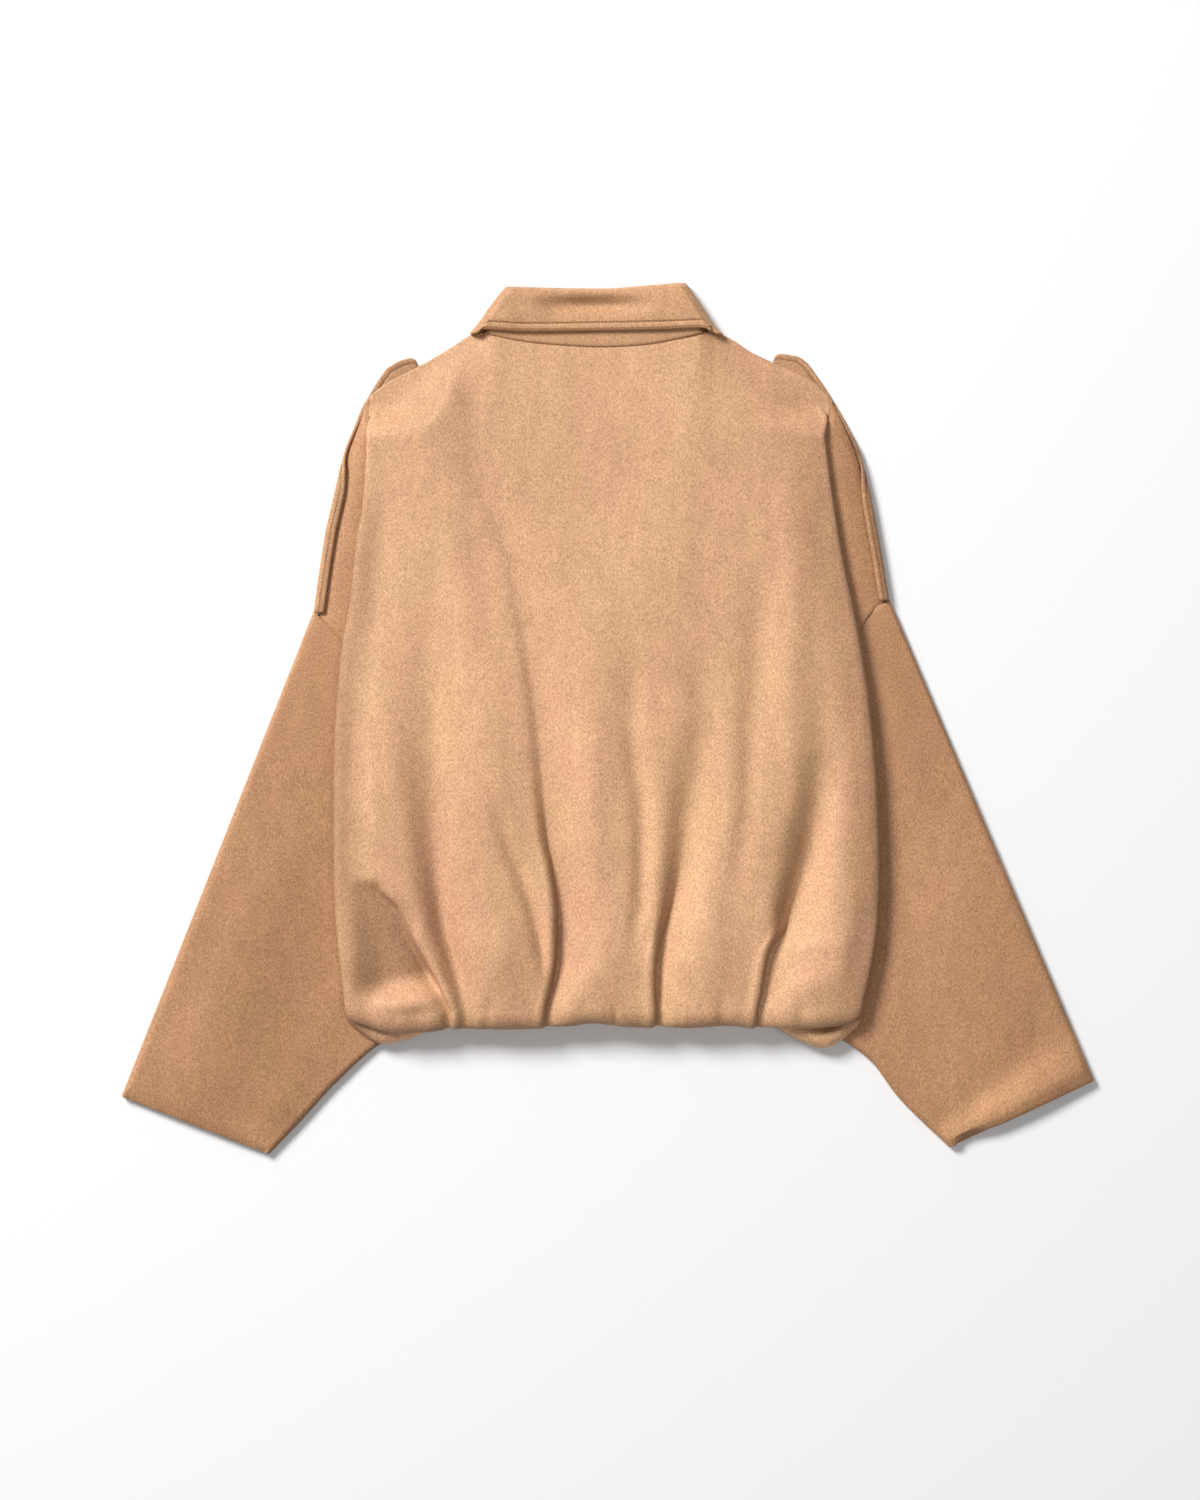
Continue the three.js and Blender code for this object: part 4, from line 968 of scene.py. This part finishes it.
# A band at shares b down from its fold. In each row the top goes straight from side to side
# with its relief, a bend is half a circle as high as the band, and a front part goes straight
# from the bend to the collar's end.
def collarBand(sides, topY, topUp, bottomUp, ends, b, topRelief):
    s = collarSettings
    up = topUp(b)
    radius = (up - bottomUp) / 2
    edges = {}
    for side, table in sides.items():
        y = mix(table[0][0], table[-1][0], b)
        edges[side] = (curveAt(table, y), y)
    (leftX, leftY), (rightX, rightY) = edges["left"], edges["right"]
    t = np.linspace(0, 1, s["frontSteps"])[None, :]
    bend = np.linspace(0, math.pi, s["bendSteps"] + 2)[1:-1][None, :]
    across = np.linspace(0, 1, s["acrossSteps"])[None, :]
    bulge = radius * (1 - np.sin(bend))

    def frontPart(side, sideX, sideY, inward):
        fold, edge = (np.array(p, float) for p in ends[side])
        return [mix(mix(fold[0], edge[0], b), sideX + inward * radius, t),
                mix(mix(fold[1], edge[1], b), sideY, t), bottomUp + 0 * t * b]

    left = frontPart("left", leftX, leftY, 1)
    right = [part[:, ::-1] for part in frontPart("right", rightX, rightY, -1)]
    topX = mix(leftX + radius, rightX - radius, across)
    leftBend = [leftX + bulge, leftY + 0 * bend, bottomUp + radius * (1 - np.cos(bend))]
    rightBend = [rightX - bulge, rightY + 0 * bend, bottomUp + radius * (1 + np.cos(bend))]
    top = [topX, topY(topX, b), up + topRelief(topX, topY(topX, b), topY(topX, 1.0))]
    parts = zip(left, leftBend, top, rightBend, right)
    return np.stack([np.concatenate(axisParts, axis=1) for axisParts in parts], axis=2)


# The leaf: a band from the fold to its edge, with a small roll at the fold, a channel of a
# bell's shape under the stitches, a rolled edge, and its dent.
def addLeaf():
    s = collarSettings
    b = np.concatenate([np.linspace(0, 0.1, 9)[:-1], np.linspace(0.1, 0.7, 16)[:-1],
                        np.linspace(0.7, 1, 30)])[:, None]

    def foldY(x):
        return curveAt(s["leafFold"], x) - s["foldInset"]

    def edgeY(x):
        return curveAt(s["leafEdge"], x * s["leafSpread"])

    def topY(x, share):
        start = s["leafStart"]
        roll = s["foldInset"] * (smoothStep(0, start, share) - smoothStep(start, 0.1, share))
        return mix(foldY(x), edgeY(x), np.clip((share - start) / (1 - start), 0, 1)) + roll

    def relief(x, y, edge):
        fromEdge = y - edge
        channel = np.exp(-((fromEdge - s["stitchInset"]) / s["grooveReach"]) ** 2)
        return (bellSum(s["leafSwells"], x, y) - s["leafGroove"] * channel
                - s["leafRoll"] * smoothStep(3, 0, fromEdge) ** 2)

    def leafUp(share):
        return mix(*s["leafLevels"], smoothStep(-0.01, 0.09, share)) + s["leafSlope"] * share

    grid = collarBand(s["leafSides"], topY, leafUp, 0, s["leafEnds"], b, relief)
    # the leaf darker towards its left end and lighter towards its right end
    ends = s["leafEndsShift"] * (smoothStep(*s["leafDarkerLeft"], grid[..., 0])
                           - smoothStep(*s["leafLighterRight"], grid[..., 0]))
    piece = clothShell("suedeCollarLeaf", grid, s["leafThickness"], paintedShading=ends)
    finishPiece(piece, "collar", ["collar_leaf"])
    x = np.linspace(*s["stitchSpan"], s["stitchPoints"])
    y = edgeY(x) + s["stitchInset"]
    share = mix(s["leafStart"], 1, (foldY(x) - y) / (foldY(x) - edgeY(x)))
    up = leafUp(share) + relief(x, y, edgeY(x)) + s["threadLift"]
    path = np.stack([x, y, up], axis=1)
    addStitches("leafStitches", path, np.tile([0.0, 0.0, 1.0], (len(x), 1)))


# The stand: a band from just under the fold to the neck seam, its edge rolled down a little.
def addStand():
    s = collarSettings
    b = np.linspace(0, 1, s["standRows"])[:, None]

    def topY(x, share):
        return mix(curveAt(s["leafFold"], x) - s["standInset"], curveAt(topEdge, x), share)

    def standUp(share):
        return mix(s["standFoldLevel"], layout["standLevel"], smoothStep(0, 0.6, share))

    def relief(x, y, edge):
        return -s["standRoll"] * smoothStep(2.2, 0, y - edge) ** 2 + 0 * x

    grid = collarBand(s["standSides"], topY, standUp, layout["frontLift"], s["standEnds"], b,
                      relief)
    piece = clothShell("suedeCollarStand", grid, layout["clothThickness"])
    finishPiece(piece, "collar", ["collar_stand"])


print("stage: collar")
addLeaf()
addStand()


# Shoulder straps: outermost line (x outward, y, wrap). A strap wraps the shoulder edge
# like a C along the arm and lies flat at its free end.
strapSettings = {
    "thickness": 2.5, "width": 38, "overTop": 2.5, "rows": 150, "columns": 45, "above": 0.5,
    "flat": (0.038, 0.29), "area": 0.0105, "slope": 0.78, "endSlope": 0.92,
    "stitchColumn": 5, "groove": 0.85, "grooveReach": 1.3, "threadSunk": 0.3,
    # painted shade: the left strap darker than the right, and more in the stitch groove
    "paintedShading": {"left": 0.3, "right": 0.05}, "grooveShade": 0.5,
    "left": [(274.9, 101.2, 1), (269.4, 140, 1), (263.6, 177, 1), (256.6, 207, 1),
             (250.6, 234, 0.8), (247.3, 246, 0.65), (243.6, 258, 0.5), (236.4, 276, 0.2),
             (228.5, 293, 0), (219, 309, 0), (212.5, 319.5, 0), (206, 328.6, 0),
             (194, 335.4, 0), (184, 337.9, 0), (181, 336.6, 0)],
    "right": [(262.9, 112.5, 1), (257.6, 145, 1), (252.6, 173, 1), (249, 193, 1), (245.2, 212, 0.9),
              (240.6, 231.5, 0.75), (235, 251, 0.55), (229, 265, 0.38), (221.8, 279, 0.2),
              (212.5, 294, 0), (202, 311, 0), (192, 325, 0), (186, 333.3, 0), (178.6, 339, 0),
              (161.4, 341.9, 0), (157.6, 340.4, 0)],
}


# Each row is a stretch of a C: straight, half a circle and straight again, by distance from
# the floor's end. The wrap says how far round it its upper end lies, and a row slopes back
# towards the free end where the strap is flat.
def addStrap(side):
    s = strapSettings
    sign = -1 if side == "left" else 1
    height = layout["seamLevel"] + s["above"] + s["thickness"]
    radius = height / 2

    def section(distance):
        turn = np.clip(distance / radius, 0, math.pi)
        straight = np.clip(-distance, 0, None) + np.clip(distance - math.pi * radius, 0, None)
        return radius * (1 - np.sin(turn)) + straight, radius * (1 - np.cos(turn))

    data = np.array(s[side])
    lengths = lengthsAlong(data[:, :2])
    share = np.linspace(0, 1, s["rows"])
    line = atLengths(share * lengths[-1], lengths, data)
    line[1:-1] = (line[:-2] + 2 * line[1:-1] + line[2:]) / 4      # takes off the corners
    x, y, wrap = (line[:, n][:, None] for n in range(3))
    upper = smoothStep(0.5, 1, wrap) * (math.pi * radius / 2 + s["overTop"])
    end = math.pi * radius * np.minimum(0.5, wrap) + upper
    outermost = section(np.minimum(end, math.pi * radius / 2))[0]
    slope = mix(s["slope"], 0, smoothStep(0, 0.9, wrap))
    slope = slope + (s["endSlope"] - s["slope"]) * smoothStep(0.9, 1, share[:, None])
    t = np.linspace(0, 1, s["columns"])[None, :]
    inward, up = section(end - s["width"] * (1 - t))
    inward = inward - outermost
    grid = np.stack([sign * (x - np.sqrt(1 - slope ** 2) * inward), y - slope * inward,
                     up + 0 * x], axis=2)
    if sign == -1:
        grid = grid[:, ::-1]
    k = s["stitchColumn"]
    fromEdge = np.minimum(np.arange(s["columns"]), np.arange(s["columns"])[::-1])[None, :]
    groove = np.exp(-((fromEdge - k) / s["grooveReach"]) ** 2) + 0 * x
    piece = clothShell("suedeStrap_" + side, grid, s["thickness"], relief=-s["groove"] * groove,
                       paintedShading=s["paintedShading"][side] + s["grooveShade"] * groove)
    finishPiece(piece, "collar", ["epaulette_" + side])

    def roundEdge(rows):     # along one edge, across the free end and back along the other
        return np.concatenate([rows[:-k, k], rows[-k, k:-k], rows[-k::-1, -k - 1]])

    rim = roundEdge(grid)
    normals = roundEdge(unit(np.cross(np.gradient(grid, axis=0), np.gradient(grid, axis=1))))
    depth = s["groove"] - s["threadSunk"]
    addStitches("strapStitches_" + side, rim - depth * normals, normals)
    addStitches("strapInnerStitches_" + side, rim - (s["thickness"] - depth) * normals, -normals)


print("stage: straps")
for side in ("left", "right"):
    addStrap(side)

bpy.context.view_layer.update()
print("stage: done")
